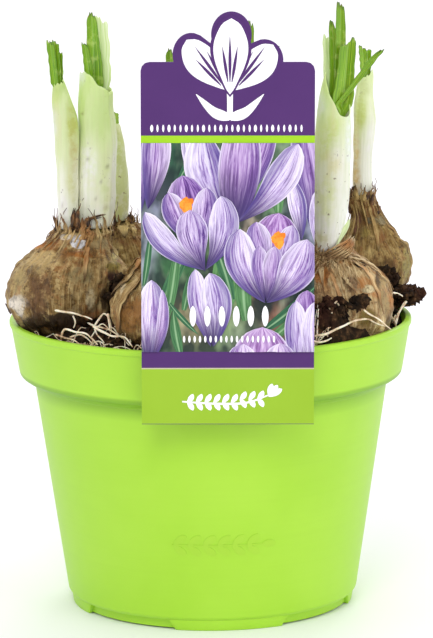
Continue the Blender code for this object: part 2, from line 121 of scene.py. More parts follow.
class Finish:
    """A node material, built round its Principled shader."""

    def __init__(self, name, constants):
        self.material = bpy.data.materials.new(name)
        self.material.use_nodes = True
        self.tree = self.material.node_tree
        self.shader = self.tree.nodes["Principled BSDF"]
        for socket, value in constants.items():
            self.shader.inputs[socket].default_value = value

    def node(self, kind, inputs, **settings):
        made = self.tree.nodes.new("ShaderNode" + kind)
        for key, value in settings.items():
            setattr(made, key, value)
        for socket, value in inputs.items():
            if isinstance(value, bpy.types.NodeSocket):
                self.tree.links.new(value, made.inputs[socket])
            else:
                made.inputs[socket].default_value = value
        return made

    def place(self):
        return self.node("TexCoord", {}).outputs["Object"]

    def uv(self):
        return self.node("TexCoord", {}).outputs["UV"]

    def attribute(self, name):
        return self.node("Attribute", {}, attribute_name=name).outputs["Vector"]

    def stretched(self, vector, scale):
        return self.node("Mapping", {"Vector": vector, "Scale": scale}).outputs["Vector"]

    def split(self, vector, axis):
        return self.node("SeparateXYZ", {"Vector": vector}).outputs[axis]

    def grain(self, vector, scale, detail=4.0, rough=0.55, warp=0.0):
        inputs = {"Vector": vector, "Scale": scale, "Detail": detail, "Roughness": rough,
                  "Distortion": warp}
        return self.node("TexNoise", inputs).outputs["Fac"]

    def from_middle(self, flat):
        """How far a place is from the middle line of a strip, from 0 to a half at its edge."""
        return self.sums("ABSOLUTE", self.sums("SUBTRACT", self.split(flat, 0), 0.5), 0)

    def sums(self, operation, first, second, clamp=False):
        made = self.node("Math", {0: first, 1: second}, operation=operation, use_clamp=clamp)
        return made.outputs["Value"]

    def ramp(self, value, *stops):
        """A colour ramp with (place, colour) stops; a colour may be one grey number."""
        made = self.node("ValToRGB", {"Fac": value})
        elements = made.color_ramp.elements
        while len(elements) < len(stops):
            elements.new(0.5)
        for element, (spot, colour) in zip(elements, stops):
            element.position = spot
            element.color = colour if isinstance(colour, tuple) else (colour, colour, colour, 1)
        return made.outputs["Color"]

    def mix(self, share, first, second, blend="MIX"):
        inputs = {"Fac": share, "Color1": first, "Color2": second}
        return self.node("MixRGB", inputs, blend_type=blend).outputs["Color"]

    def colour(self, socket):
        self.tree.links.new(socket, self.shader.inputs["Base Color"])

    def roughness(self, value, low, high):
        link = self.node("MapRange", {"Value": value, "To Min": low, "To Max": high})
        self.tree.links.new(link.outputs["Result"], self.shader.inputs["Roughness"])

    def bump(self, height, strength, depth):
        inputs = {"Height": height, "Strength": strength, "Distance": depth}
        made = self.node("Bump", inputs)
        self.tree.links.new(made.outputs["Normal"], self.shader.inputs["Normal"])


# ---------------------------------------------------------------- work at the mesh


def only(obj):
    """Selects one object, and nothing else."""
    bpy.ops.object.select_all(action="DESELECT")
    obj.select_set(True)
    bpy.context.view_layer.objects.active = obj


def modify(obj, kind, **settings):
    """Adds a modifier and applies it."""
    only(obj)
    modifier = obj.modifiers.new(kind, kind)
    for key, value in settings.items():
        setattr(modifier, key, value)
    bpy.ops.object.modifier_apply(modifier=modifier.name)


def subdivide(obj, levels):
    modify(obj, "SUBSURF", levels=levels, render_levels=levels)


def drawn_up(name, sections, sides, fill="NOTHING"):
    """A form drawn up from a circle, with one extrusion for each (centre, radius) section."""
    bpy.ops.object.select_all(action="DESELECT")
    (below, old), *rest = sections
    bpy.ops.mesh.primitive_circle_add(vertices=sides, radius=old, location=below, fill_type=fill)
    obj = bpy.context.object
    obj.name = name
    bpy.ops.object.mode_set(mode="EDIT")
    bpy.ops.mesh.select_mode(type="FACE" if fill == "NGON" else "EDGE")
    bpy.ops.mesh.select_all(action="SELECT")
    for centre, radius in rest:
        rise = {"value": centre - below}
        if fill == "NGON":
            bpy.ops.mesh.extrude_region_move(TRANSFORM_OT_translate=rise)
        else:
            bpy.ops.mesh.extrude_edges_move(TRANSFORM_OT_translate=rise)
        size = radius / old
        bpy.ops.transform.resize(value=(size, size, 1), center_override=centre)
        below, old = centre, radius
    bpy.ops.mesh.select_all(action="SELECT")
    bpy.ops.mesh.normals_make_consistent(inside=False)
    bpy.ops.object.mode_set(mode="OBJECT")
    bpy.ops.object.transform_apply(location=True, rotation=True, scale=True)
    return obj


def close_ends(obj):
    """Fills the open ends of a form, and turns its faces outwards."""
    only(obj)
    bpy.ops.object.mode_set(mode="EDIT")
    bpy.ops.mesh.select_all(action="DESELECT")
    bpy.ops.mesh.select_non_manifold()
    bpy.ops.mesh.edge_face_add()
    bpy.ops.mesh.select_all(action="SELECT")
    bpy.ops.mesh.normals_make_consistent(inside=False)
    bpy.ops.object.mode_set(mode="OBJECT")


def flat_sheet(name, across, up):
    """A flat sheet one metre square, with so many cells each way."""
    bpy.ops.object.select_all(action="DESELECT")
    bpy.ops.mesh.primitive_grid_add(x_subdivisions=across, y_subdivisions=up, size=1)
    sheet = bpy.context.object
    sheet.name = name
    return sheet


def sculpt(obj, shift):
    """Moves every vert by shift(place, normal)."""
    mesh = obj.data
    moves = [shift(vert.co.copy(), vert.normal.copy()) for vert in mesh.vertices]
    for vert, move in zip(mesh.vertices, moves):
        vert.co += move
    mesh.update()


def joined(name, objects):
    only(objects[0])
    for obj in objects:
        obj.select_set(True)
    bpy.ops.object.join()
    obj = bpy.context.object
    obj.name = name
    return obj


def settle(obj, finish, slot, *nodes):
    """Smooths a finished piece, gives it its finish, and puts it in place of its CAD nodes."""
    only(obj)
    bpy.ops.object.transform_apply(location=True, rotation=True, scale=True)
    bpy.ops.object.shade_smooth()
    if finish:
        obj.data.materials.clear()
        obj.data.materials.append(finish)
    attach(obj, "root")
    if nodes:
        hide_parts(*nodes)
    return obj


def along(values, share):
    """A value from a smooth curve through all the values, at a share of the way."""
    spot = min(max(share, 0.0), 1.0) * (len(values) - 1)
    index = min(int(spot), len(values) - 2)
    t = spot - index
    before, after = values[max(index - 1, 0)], values[min(index + 2, len(values) - 1)]
    start, end = values[index], values[index + 1]
    return 0.5 * (2 * start + (end - before) * t + (2 * before - 5 * start + 4 * end - after) * t**2
                  + (3 * start - before - 3 * end + after) * t**3)


def all_round(values, share):
    """A value from a smooth closed curve through all the values."""
    ring = (values[-1], *values, values[0], values[1])
    return along(ring, (1 + share % 1 * len(values)) / (len(values) + 2))


def ripple(vector, size, height):
    """Smooth noise of about one size, from minus to plus the height."""
    return noise.noise(vector / size) * height


def scatter(reach):
    """A random place in a cube that reaches so far each way."""
    return Vector([random.uniform(-reach, reach) for _ in range(3)])


def stains_and_painted_light(obj, name, middle):
    """Paints a piece's own stains, and painted highlights and painted shade, on the side of it that
    faces the front.
    """
    layer = obj.data.attributes.new("stains_and_painted_light", "FLOAT_COLOR", "POINT")
    tilt = Vector((0, math.sin(CAMERA_PITCH), math.cos(CAMERA_PITCH)))
    for vert, item in zip(obj.data.vertices, layer.data):
        offset = vert.co / MM - Vector(middle)
        total, most, mixed = 0.0001, 0.0, Vector()
        for across, up, wide, tall, colour, strength in STAINS_AND_PAINTED_LIGHT.get(name, ()):
            far = ((offset.x - across) / wide) ** 2 + ((offset.dot(tilt) - up) / tall) ** 2
            weight = strength * math.exp(-(far**1.5)) * (vert.normal.y < 0.3)
            total += weight
            most = max(most, weight)
            mixed += Vector(srgb(*colour)[:3]) * weight
        item.color = (*(mixed / total), most)


# ---------------------------------------------------------------- pot

POT_SIDES = 192
BODY_RADIUS = 52.7 * MM
BASE_RADIUS = 43.4 * MM
POT_OUTLINE = (  # radius and height, in millimetres, from under the floor round to its top
    (1.5, 3.6), (39.3, 3.6), (39.7, 0.4), (40.9, 0.4), (41.2, 3.2), (42.6, 3.2), (43.4, 4.2),
    (52.7, 67.3), (53.9, 68.4), (55.7, 69.0), (57.0, 69.9), (57.3, 71.0), (59.5, 84.2),
    (60.0, 84.6), (60.0, 85.8), (59.6, 86.2), (58.2, 86.2), (56.1, 71.3), (51.5, 67.9),
    (42.5, 6.8), (40.2, 4.8), (1.5, 4.8),
)
FOOT_TURN = math.radians(7)
FOOT_ARC = math.radians(50)
FOOT_TAPER = 0.12  # how much shorter a foot is at its bottom
FOOT_OUTLINE = ((40.2, 0.25), (42.0, 0.0), (42.6, 3.6), (40.2, 3.6))  # radius and height, in mm
FEET = 4
DRAINS = 8
SPRIG_PITCH = 4.3  # from one moulded leaf to the next, in millimetres
SPRIG_PLACE = (1.7 * MM, 26.7 * MM, 0)
SPRIG_RISE = 0.16 * MM
DRAIN_CIRCLE = 30.0 * MM
DRAIN_RADIUS = 3.5 * MM


def wall_radius(height):
    """The pot's outer radius on its plain wall."""
    share = (height - 4.2 * MM) / (63.1 * MM)
    return BASE_RADIUS + (BODY_RADIUS - BASE_RADIUS) * share


def add_foot(number):
    """A foot: an upright section spun under the wall's edge, shorter at the bottom."""
    bpy.ops.object.select_all(action="DESELECT")
    bpy.ops.mesh.primitive_plane_add(size=1)
    foot = bpy.context.object
    round_the_face = (foot.data.vertices[index] for index in (0, 1, 3, 2))
    for vert, (radius, height) in zip(round_the_face, FOOT_OUTLINE):
        vert.co = Vector((0, -radius, height)) * MM
    bpy.ops.object.mode_set(mode="EDIT")
    bpy.ops.mesh.select_all(action="SELECT")
    bpy.ops.mesh.spin(steps=14, angle=FOOT_ARC, center=(0, 0, 0), axis=(0, 0, 1))
    bpy.ops.mesh.select_all(action="SELECT")
    bpy.ops.mesh.remove_doubles(threshold=0.001 * MM)
    bpy.ops.mesh.normals_make_consistent(inside=False)
    bpy.ops.object.mode_set(mode="OBJECT")
    middle = -FOOT_ARC / 2

    def slope(spot, normal):
        turn = math.atan2(spot.x, -spot.y)
        centred = turn + middle if turn > 0 else turn - middle
        if spot.z < 2 * MM:
            return Matrix.Rotation(-centred * FOOT_TAPER, 3, "Z") @ spot - spot
        return Vector()

    sculpt(foot, slope)
    side = 1 if sum(v.co.x for v in foot.data.vertices) > 0 else -1
    turn = FOOT_TURN + number * math.pi / 2 + side * middle
    foot.data.transform(Matrix.Rotation(turn, 4, "Z"))
    modify(foot, "BEVEL", width=0.25 * MM, segments=2, limit_method="ANGLE")
    return foot


def add_moulded_sprig():
    """A faint raised sprig of leaves on the front of the wall."""
    leaves = []
    for number in range(-3, 4):
        for side in (-1, 1) if number < 3 else (0,):
            leaf = print_strip("moulded_leaf", ((0, 0), (0, 2.3), (0, 4.6)),
                               petal_widths(1.1, 1.1), 4, 10)
            spin = Matrix.Rotation(-math.pi / 2, 4, "Z") @ Matrix.Rotation(side * 0.62, 4, "Z")
            leaf.data.transform(spin)
            place = Vector((number * SPRIG_PITCH, side * 0.3, 0)) * MM
            leaf.data.transform(Matrix.Translation(place))
            leaves.append(leaf)
    stem = flat_sheet("moulded_stem", 24, 1)
    stem.data.transform(Matrix.Diagonal((27 * MM, 0.5 * MM, 1, 1)))
    sprig = joined("moulded_sprig", [stem, *leaves])
    sprig.data.transform(Matrix.Translation(SPRIG_PLACE))

    def onto_wall(spot, normal):
        turn = spot.x / wall_radius(spot.y)
        radius = wall_radius(spot.y) - 0.02 * MM
        return Vector((radius * math.sin(turn), -radius * math.cos(turn), spot.y)) - spot

    sculpt(sprig, onto_wall)
    modify(sprig, "SOLIDIFY", thickness=SPRIG_RISE, offset=1 if faces_out(sprig) else -1)
    return sprig


def faces_out(obj):
    return sum(face.normal.y for face in obj.data.polygons) < 0


def add_pot():
    outline = [(Vector((0, 0, height)) * MM, radius * MM) for radius, height in POT_OUTLINE]
    pot = drawn_up("nursery_pot", outline, POT_SIDES)
    close_ends(pot)
    drains = []
    for number in range(DRAINS):
        turn = number * math.tau / DRAINS
        place = (DRAIN_CIRCLE * math.sin(turn), DRAIN_CIRCLE * math.cos(turn), 4.2 * MM)
        bpy.ops.mesh.primitive_cylinder_add(vertices=32, radius=DRAIN_RADIUS, depth=6 * MM,
                                            location=place)
        bpy.ops.object.transform_apply(location=True, rotation=True, scale=True)
        drains.append(bpy.context.object)
    cutter = joined("drain_cutter", drains)
    modify(pot, "BOOLEAN", object=cutter, operation="DIFFERENCE", solver="EXACT")
    bpy.data.objects.remove(cutter)
    modify(pot, "BEVEL", width=0.3 * MM, segments=3, limit_method="ANGLE",
           angle_limit=math.radians(24))
    feet = [add_foot(number) for number in range(FEET)]
    pot = joined("nursery_pot", [pot, *feet, add_moulded_sprig()])
    settle(pot, pot_plastic(), "pot", "pot")
    bpy.ops.object.shade_smooth_by_angle(angle=math.radians(35))


def pot_plastic():
    plastic = Finish("pot_plastic", {"Roughness": 0.42, "Specular IOR Level": 0.4,
                                     "Subsurface Weight": 0.12, "Subsurface Scale": 0.002})
    plastic.shader.inputs["Subsurface Radius"].default_value = (0.7, 1.0, 0.2)
    place = plastic.place()
    cloud = plastic.grain(place, 38, 3)
    green = plastic.ramp(cloud, (0.3, srgb(163, 213, 50)), (0.7, srgb(170, 218, 60)))
    specks = plastic.grain(place, 2600, 2)
    green = plastic.mix(plastic.ramp(specks, (0.7, 0.0), (0.78, 0.12)), green, srgb(206, 240, 140))
    rings = plastic.grain(plastic.stretched(place, (18, 18, 900)), 1, 3)
    green = plastic.mix(plastic.ramp(rings, (0.45, 0.0), (0.75, 0.1)), green, srgb(152, 202, 44))
    # Painted shade: a darker green band on the wall just under the collar, where the collar's
    # shadow falls.
    level = plastic.node("MapRange", {"Value": plastic.split(place, 2), "From Min": 0.0625,
                                      "From Max": 0.0725})
    painted_collar_shade = plastic.ramp(level.outputs["Result"], (0.1, 0.0), (0.7, 0.9), (0.82, 0.7), (0.9, 0.0))
    plastic.colour(plastic.mix(painted_collar_shade, green, srgb(116, 166, 28)))
    plastic.roughness(cloud, 0.36, 0.5)
    fine = plastic.sums("ADD", plastic.grain(place, 900, 3), rings)
    plastic.bump(fine, 0.12, 0.06 * MM)
    return plastic.material


# ---------------------------------------------------------------- soil

SOIL_RADIUS = 57.0 * MM
SOIL_EDGE = 83.0 * MM
MOUND = 8.0 * MM
HEAPS = (  # x, y, rise and spread, in millimetres
    (50, 15, 7.0, 9), (31, -39.5, 8.5, 5.5), (37, -39, 8.6, 4.6), (45, -36.5, 5.5, 4.0),
    (-27, -33, 3.5, 9),
)
CLODS = (  # centre and reach, in millimetres
    ((56.5, 4, 91), (6.2, 6, 3.2)), ((59.5, 1, 92.4), (4.2, 4, 2.0)),
    ((53, 4, 96.5), (3.2, 3, 3.4)),
    ((32, -38.6, 92.5), (8.6, 3.2, 4.2)), ((38.5, -36.6, 96.0), (6.6, 2.5, 2.1)),
    ((43.4, -35.4, 97.0), (2.8, 2.0, 1.2)), ((34, -39, 94), (5.6, 2.5, 3)),
    ((-26.5, -22, 97), (4, 5, 6)),
)
SOIL_RINGS = 70
SOIL_SIDES = 168
CRUMBS = 2200
CRUMB_SIZES = (0.35, 0.45, 0.45, 0.6, 0.6, 0.9, 1.2)
CLOD_CRUMBS = 1100


def soil_height(x, y):
    share = min(1, math.hypot(x, y) / SOIL_RADIUS)
    height = SOIL_EDGE + MOUND * (1 - share**3)
    for heap_x, heap_y, rise, spread in HEAPS:
        apart = math.hypot(x - heap_x * MM, y - heap_y * MM)
        height += rise * MM * math.exp(-((apart / (spread * MM)) ** 2))
    return height + 0.8 * MM * noise.noise(Vector((x, y, 0)) * 140)


def crumbly(x, y):
    """The soil's height with its fine lumps."""
    spot = Vector((x, y, 0))
    fine = abs(ripple(spot, 3.1 * MM, 1.5 * MM)) + abs(ripple(spot, 1.3 * MM, 0.7 * MM))
    return soil_height(x, y) + fine - 0.6 * MM


def add_soil(corms):
    """The filling of the pot, with a dent under each corm."""
    base = 5.2 * MM
    outline = [(Vector((0, 0, base)), 1 * MM), (Vector((0, 0, base)), 38.6 * MM),
               (Vector((0, 0, 7.2 * MM)), 40.8 * MM), (Vector((0, 0, 67.9 * MM)), 50.9 * MM),
               (Vector((0, 0, 71.8 * MM)), 55.4 * MM), (Vector((0, 0, 80 * MM)), 56.6 * MM)]
    for ring in range(SOIL_RINGS + 1):
        radius = SOIL_RADIUS * (1 - ring / SOIL_RINGS) + 0.4 * MM
        outline.append((Vector((0, 0, SOIL_EDGE)), radius))
    soil = drawn_up("soil_filling", outline, SOIL_SIDES)
    close_ends(soil)

    def heaped(spot, normal):
        if spot.z < SOIL_EDGE - 0.1 * MM:
            return Vector()
        top = crumbly(spot.x, spot.y)
        start = Vector((spot.x, spot.y, 60 * MM))
        for corm in corms:
            hit = corm.ray_cast(start, UP)[0]
            if hit and hit.z - 0.3 * MM < top:
                top = hit.z - 0.3 * MM
        return Vector((0, 0, top - spot.z))

    sculpt(soil, heaped)
    settle(soil, soil_finish(), "soil", "soil")


def add_crumbs(corms):
    """Loose crumbs over the soil, and the clods, one of which hangs over the rim."""
    crumb_shapes = []
    for number in range(4):
        bpy.ops.object.select_all(action="DESELECT")
        bpy.ops.mesh.primitive_ico_sphere_add(subdivisions=1 + number // 3, radius=1)
        shape = bpy.context.object
        sculpt(shape, lambda spot, normal: spot * noise.noise(spot * 1.6 + UP * 7 * number) * 1.3)
        crumb_shapes.append(shape)
    bm = bmesh.new()
    for _ in range(CRUMBS):
        radius = SOIL_RADIUS * 0.985 * math.sqrt(random.random())
        turn = random.uniform(0, math.tau)
        size = random.choice(CRUMB_SIZES) * MM
        x, y = radius * math.sin(turn), -radius * math.cos(turn)
        spot = Vector((x, y, soil_height(x, y) + 0.4 * size))
        add_copy(bm, crumb_shapes, spot, size, corms)
    for _ in range(CLOD_CRUMBS):
        spot = clod_spot()
        add_copy(bm, crumb_shapes, spot, random.uniform(0.25, 1.3) * MM, corms)
    for shape in crumb_shapes:
        bpy.data.objects.remove(shape)
    mesh = bpy.data.meshes.new("soil_crumbs")
    bm.to_mesh(mesh)
    bm.free()
    crumbs = bpy.data.objects.new("soil_crumbs", mesh)
    bpy.context.scene.collection.objects.link(crumbs)
    settle(crumbs, soil_finish(), "soil")


def clod_spot():
    """A place in one of the clods."""
    centre, reach = random.choice(CLODS)
    centre, reach = Vector(centre), Vector(reach)
    while True:
        offset = scatter(1)
        if offset.length < 1:
            return (centre + offset * reach) * MM


def add_copy(bm, shapes, spot, size, corms):
    """Puts one crumb in, unless it would sit inside a corm."""
    for corm in corms:
        nearest, normal, _, apart = corm.find_nearest(spot)
        if apart < size * 0.8 or (spot - nearest).dot(normal) < 0:
            return
    shape = random.choice(shapes)
    spin = scatter(1).to_track_quat("Z", "Y")
    stretch = Matrix.Diagonal((random.uniform(0.7, 1.4), random.uniform(0.7, 1.2), 0.8, 1))
    place = Matrix.Translation(spot) @ spin.to_matrix().to_4x4() @ stretch
    place = place @ Matrix.Scale(size, 4)
    start = len(bm.verts)
    bm.from_mesh(shape.data)
    bm.verts.ensure_lookup_table()
    bmesh.ops.transform(bm, matrix=place, verts=bm.verts[start:])


def soil_finish():
    soil = Finish("peat", {"Roughness": 0.95, "Specular IOR Level": 0.15})
    place = soil.place()
    lumps = soil.grain(place, 420, 5, 0.7)
    dark = soil.ramp(lumps, (0.34, srgb(18, 12, 7)), (0.52, srgb(42, 29, 17)),
                     (0.64, srgb(84, 60, 38)), (0.78, srgb(150, 118, 82)))
    reddish = soil.grain(place, 90, 2)
    soil.colour(soil.mix(soil.ramp(reddish, (0.52, 0.0), (0.7, 0.45)), dark, srgb(66, 34, 26)))
    soil.bump(soil.grain(place, 1500, 4, 0.7), 0.7, 0.25 * MM)
    return soil.material


# ---------------------------------------------------------------- corms

# Centre of the widest circle, radius, height of the crown above it, the crown's radius, how
# far the crown leans, all in millimetres, and the tunic's finish.
CORMS = {
    "corm_left": ((-43.3, -12, 97.8), 16.3, 17.0, 8.6, (6.3, 0), "mottled"),
    "corm_front": ((-13.6, -38, 95.4), 14.3, 16.6, 5.8, (1, 0), "mottled"),
    "corm_right": ((37.4, -20.6, 94.5), 15.9, 14.3, 6.0, (-4.0, 0), "straw"),
    "corm_back_right": ((49.5, 18, 99.0), 11.6, 20.4, 3.8, (-3.8, 0), "brown"),
    "corm_back_left": ((-24, 23, 98.5), 13.5, 13.0, 5.6, (-3.6, -1), "brown"),
    "corm_middle": ((9, 3, 97), 14.0, 17.0, 5.8, (0.5, 0), "straw"),
    "corm_back": ((12, 38, 96.5), 13.5, 17.0, 8.0, (0.2, 0.4), "brown"),
}
DAUGHTER_SIDE = Vector((14.5, -3.5, 3.2)).normalized()  # from the left corm's centre
CORM_ROWS = 88
CORM_SIDES = 176
SLIM_NECKS = {"corm_back_right": 0.74}

# Stains, painted highlights and painted shade on the seen side of a piece: across and up from
# its middle (or from its foot, for a shoot) as it shows from a little above, reach each way in
# millimetres, 8-bit colour, strength.
STAINS_AND_PAINTED_LIGHT = {
    "corm_left": (
        (-6.8, -2.4, 4.6, 6.8, (112, 78, 42), 0.95), (-12.4, 0.4, 2.2, 5.0, (188, 164, 108), 0.8),
        (-13.4, -5.2, 2.4, 2.0, (255, 244, 228), 1.6),
        (-12.6, -7.4, 1.5, 1.7, (250, 236, 214), 1.5), (-6.0, 12.0, 4.4, 1.3, (196, 118, 44), 1.0),
        (5.2, 8.8, 4.6, 1.2, (178, 112, 44), 0.9), (-2.4, 14.4, 1.7, 2.6, (142, 88, 36), 0.95),
        # Painted highlights: the white and cream marks on the next line stand for glare near the
        # neck.
        (4.9, 12.6, 2.1, 1.9, (255, 253, 255), 1.7), (0.9, 14.2, 1.6, 1.2, (246, 230, 206), 1.4),
        (-6.2, 7.4, 5.6, 3.4, (214, 184, 124), 0.9), (0.8, 8.0, 2.0, 2.6, (132, 92, 44), 0.8),
        (11.2, 16.4, 1.2, 1.8, (122, 116, 50), 0.8), (8.3, -4.4, 1.4, 4.0, (210, 190, 146), 0.8),
        # Painted highlight: the pale mark at 15.4 across on the next line lies on the daughter
        # bulge.
        (12.1, -4.0, 1.1, 3.6, (84, 60, 24), 0.9), (15.4, 8.4, 1.4, 1.4, (228, 208, 144), 0.9),
        # Painted shade: the dark maroon mark at 14.6 across on the next line darkens the hollow
        # under the bulge.
        (15.0, 5.4, 2.2, 1.6, (158, 140, 60), 0.8), (14.6, -1.0, 1.5, 6.0, (62, 24, 16), 1.2),
        (-1.0, -10.8, 12.0, 2.6, (52, 34, 18), 1.1), (5.5, 2.4, 4.0, 3.0, (160, 140, 92), 0.7),
        (11.0, 12.0, 3.0, 2.4, (176, 152, 104), 0.7),
    ),
    "corm_front": (
        # Painted highlight: the cream mark at -11.4 across on the next line lies along the upper
        # left edge.
        (-9.0, -2.0, 4.6, 6.0, (160, 112, 54), 0.9), (-11.4, 4.6, 1.0, 3.0, (236, 214, 168), 1.1),
        (-8.4, 6.2, 2.0, 1.8, (168, 148, 66), 0.8), (-9.5, -10, 6.0, 2.0, (60, 38, 20), 1.0),
    ),
    "corm_right": (
        (-5.2, 7.0, 2.4, 3.6, (190, 122, 56), 1.0), (-4.4, 1.4, 3.4, 2.8, (208, 164, 108), 0.8),
        (6.5, 10.2, 1.8, 1.0, (26, 18, 12), 1.3), (3.6, 4.0, 2.6, 3.6, (160, 128, 88), 0.8),
        (2.9, 5.4, 0.9, 1.4, (104, 76, 62), 1.0), (8.6, 2.8, 2.4, 1.1, (236, 218, 170), 1.0),
        (13.2, 0.0, 2.0, 6.0, (184, 158, 108), 0.8), (8.0, -5.4, 3.6, 2.8, (138, 114, 52), 0.9),
        (-5.0, -3.8, 3.4, 2.2, (74, 48, 28), 1.0), (11.4, 5.6, 0.6, 4.0, (112, 84, 50), 0.9),
    ),
    "corm_back_right": (
        (-5.2, 11.5, 1.4, 3.6, (164, 112, 92), 0.9), (-1.0, 12.4, 3.2, 1.1, (118, 112, 88), 0.8),
        (2.6, 12.6, 2.2, 1.6, (196, 178, 136), 0.8), (-3.0, 8.6, 2.2, 1.6, (176, 152, 82), 0.8),
        (9.6, -1.0, 1.6, 5.0, (178, 162, 96), 0.9), (2.0, -1.0, 5.0, 4.0, (128, 94, 48), 0.7),
        (-7.0, 2.0, 2.2, 4.0, (120, 96, 52), 0.8),
    ),
    "sheath_left_1": (
        # Painted shade: the olive and ochre marks down the right edge, at 1.6, 1.9 and 1.2 across;
        # painted light: the pale mark on the left edge, at -3.7 across.
        (1.6, 30.3, 1.8, 6.5, (190, 200, 90), 1.0), (1.9, 22.0, 1.4, 6.0, (212, 196, 124), 0.8),
        (1.2, 12.0, 1.8, 8.0, (222, 224, 150), 0.8), (-3.7, 30.0, 1.2, 5.0, (234, 244, 216), 0.9),
        (-2.8, 41.0, 2.4, 2.0, (182, 214, 118), 1.0), (-1.0, 6.7, 1.8, 4.0, (252, 250, 244), 0.8),
        (-2.4, 10.6, 0.4, 0.4, (120, 110, 76), 1.3), (-1.6, 7.0, 0.4, 0.4, (120, 100, 66), 1.3),
    ),
    "sheath_left_2": (
        # Painted shade: the pale green marks down the right side, at 1.4 and 3.4 across; painted
        # light: the near white mark in the middle, at -2.0 across.
        (-3.9, 44.0, 1.6, 3.0, (226, 240, 206), 1.0), (1.4, 33.7, 3.4, 8.0, (206, 232, 148), 0.9),
        (-3.1, 33.0, 0.7, 0.45, (140, 138, 70), 1.4), (-2.0, 16.5, 3.2, 8.0, (254, 254, 244), 0.9),
        (3.4, 12.0, 1.8, 11.0, (224, 236, 168), 0.9), (-1.8, 19.4, 0.5, 0.5, (130, 130, 92), 1.4),
        (3.9, 17.4, 0.5, 0.4, (120, 120, 72), 1.3), (2.0, 13.0, 0.5, 0.5, (150, 150, 110), 1.3),
        (-3.8, 14.0, 0.4, 0.4, (160, 156, 130), 1.2), (3.2, 5.4, 0.8, 0.7, (150, 140, 84), 1.2),
        (0.4, 7.6, 0.5, 0.4, (150, 146, 110), 1.2),
    ),
    "sheath_back_left": (
        (0.0, 13.0, 7.0, 18.0, (210, 222, 138), 1.2), (0.6, 21.0, 1.2, 5.0, (178, 196, 86), 1.0),
        (1.4, 3.6, 2.5, 3.0, (212, 208, 122), 0.9), (-0.8, 5.0, 0.8, 0.7, (60, 56, 32), 1.5),
        (-1.4, 1.8, 0.8, 0.9, (54, 40, 22), 1.5),
    ),
    "sheath_right": (
        (-0.6, 29.9, 2.8, 8.0, (220, 234, 146), 1.0), (1.7, 34.3, 3.6, 5.0, (204, 228, 118), 0.9),
        # Painted light: the near white marks at 7.4 and 5.6 across brighten the right side where
        # the label's shadow falls.
        (-1.2, 41.6, 2.0, 4.0, (220, 236, 198), 0.9), (7.4, 31.4, 1.6, 8.0, (248, 254, 246), 0.9),
        (2.0, 24.5, 3.0, 4.4, (234, 224, 150), 0.7), (0.2, 16.2, 4.0, 9.0, (232, 240, 166), 0.9),
        (5.6, 10.8, 1.8, 8.0, (248, 252, 232), 0.9), (-1.2, 3.5, 3.0, 2.4, (212, 206, 148), 0.9),
    ),
    "sheath_back_right": (
        # Painted shade: the ochre marks down the left edge, at -2.6 and -2.4 across; painted light:
        # the near white mark on the right, at 2.0 across.
        (-2.6, 13.4, 1.7, 9.0, (226, 198, 126), 1.0), (-2.4, 4.3, 1.6, 5.4, (214, 174, 104), 1.0),
        (-0.9, 25.0, 2.4, 6.0, (198, 214, 110), 1.0), (2.0, 13.4, 1.7, 9.0, (252, 252, 236), 0.9),
        (-0.4, 31.0, 2.4, 3.0, (208, 222, 150), 0.9),
    ),
}


def corm_outline(name):
    _, size, height, crown, _, _ = CORMS[name]
    neck = (0.46 * crown + 0.36 * size) * SLIM_NECKS.get(name, 1)
    return ((0, height), (0.6 * crown, height), (crown, height - 0.6),
            (neck, 0.5 * height + 0.36 * size), (0.72 * size, 0.66 * size),
            (0.92 * size, 0.36 * size), (size, -0.02 * size), (0.93 * size, -0.42 * size),
            (0.73 * size, -0.72 * size), (0.42 * size, -0.92 * size), (0, -0.95 * size))


class Skin:
    """The surface of one corm, by the turn round it and the share of the way down it."""

    def __init__(self, name):
        centre, self.size, self.height, _, lean, self.kind = CORMS[name]
        self.name = name
        self.centre = Vector(centre)
        self.lean = Vector((*lean, 0))
        outline = corm_outline(name)
        self.radii = [radius for radius, _ in outline]
        self.heights = [height for _, height in outline]

    def plain(self, turn, share):
        radius, height = along(self.radii, share), along(self.heights, share)
        spot = Vector((radius * math.sin(turn), -radius * math.cos(turn), height))
        return self.centre + spot + self.lean * max(0, height / self.height) ** 1.5

    def normal(self, turn, share):
        share = min(max(share, 0.03), 0.97)
        down = self.plain(turn, share + 0.02) - self.plain(turn, share - 0.02)
        side = Vector((math.cos(turn), math.sin(turn), 0))
        return side.cross(-down).normalized()

    def spot(self, turn, share, lift=0.0):
        """A place on the lumpy surface, in metres, lifted off it by some millimetres."""
        spot = self.plain(turn, share)
        normal = self.normal(turn, share)
        fading = min(1, 6 * share, 6 * (1 - share))
        lumps = ripple(spot, 10, 1.0) + ripple(spot + UP * 31, 4.3, 0.8)
        lumps += abs(ripple(spot + UP * 7, 2.4, 0.8)) + ripple(spot, 1.4, 0.22) - 0.1
        strands = Vector((math.sin(turn) * 9, math.cos(turn) * 9, share * 2.2 + self.size))
        fine = Vector((math.sin(turn) * 30, math.cos(turn) * 30, share * 5))
        below = min(1, max(0, (share - 0.3) * 4)) if self.kind == "mottled" else 1
        push = lumps + noise.noise(strands) * 0.7 + abs(noise.noise(fine)) * 0.7 * below - 0.2
        if self.name == "corm_left":
            outward = (spot - self.centre).normalized()
            swell = max(0, outward.dot(DAUGHTER_SIDE))
            push += 3.4 * math.exp(-(((1 - swell) / 0.035) ** 1.2))
        return (spot + normal * (push * fading + lift)) * MM


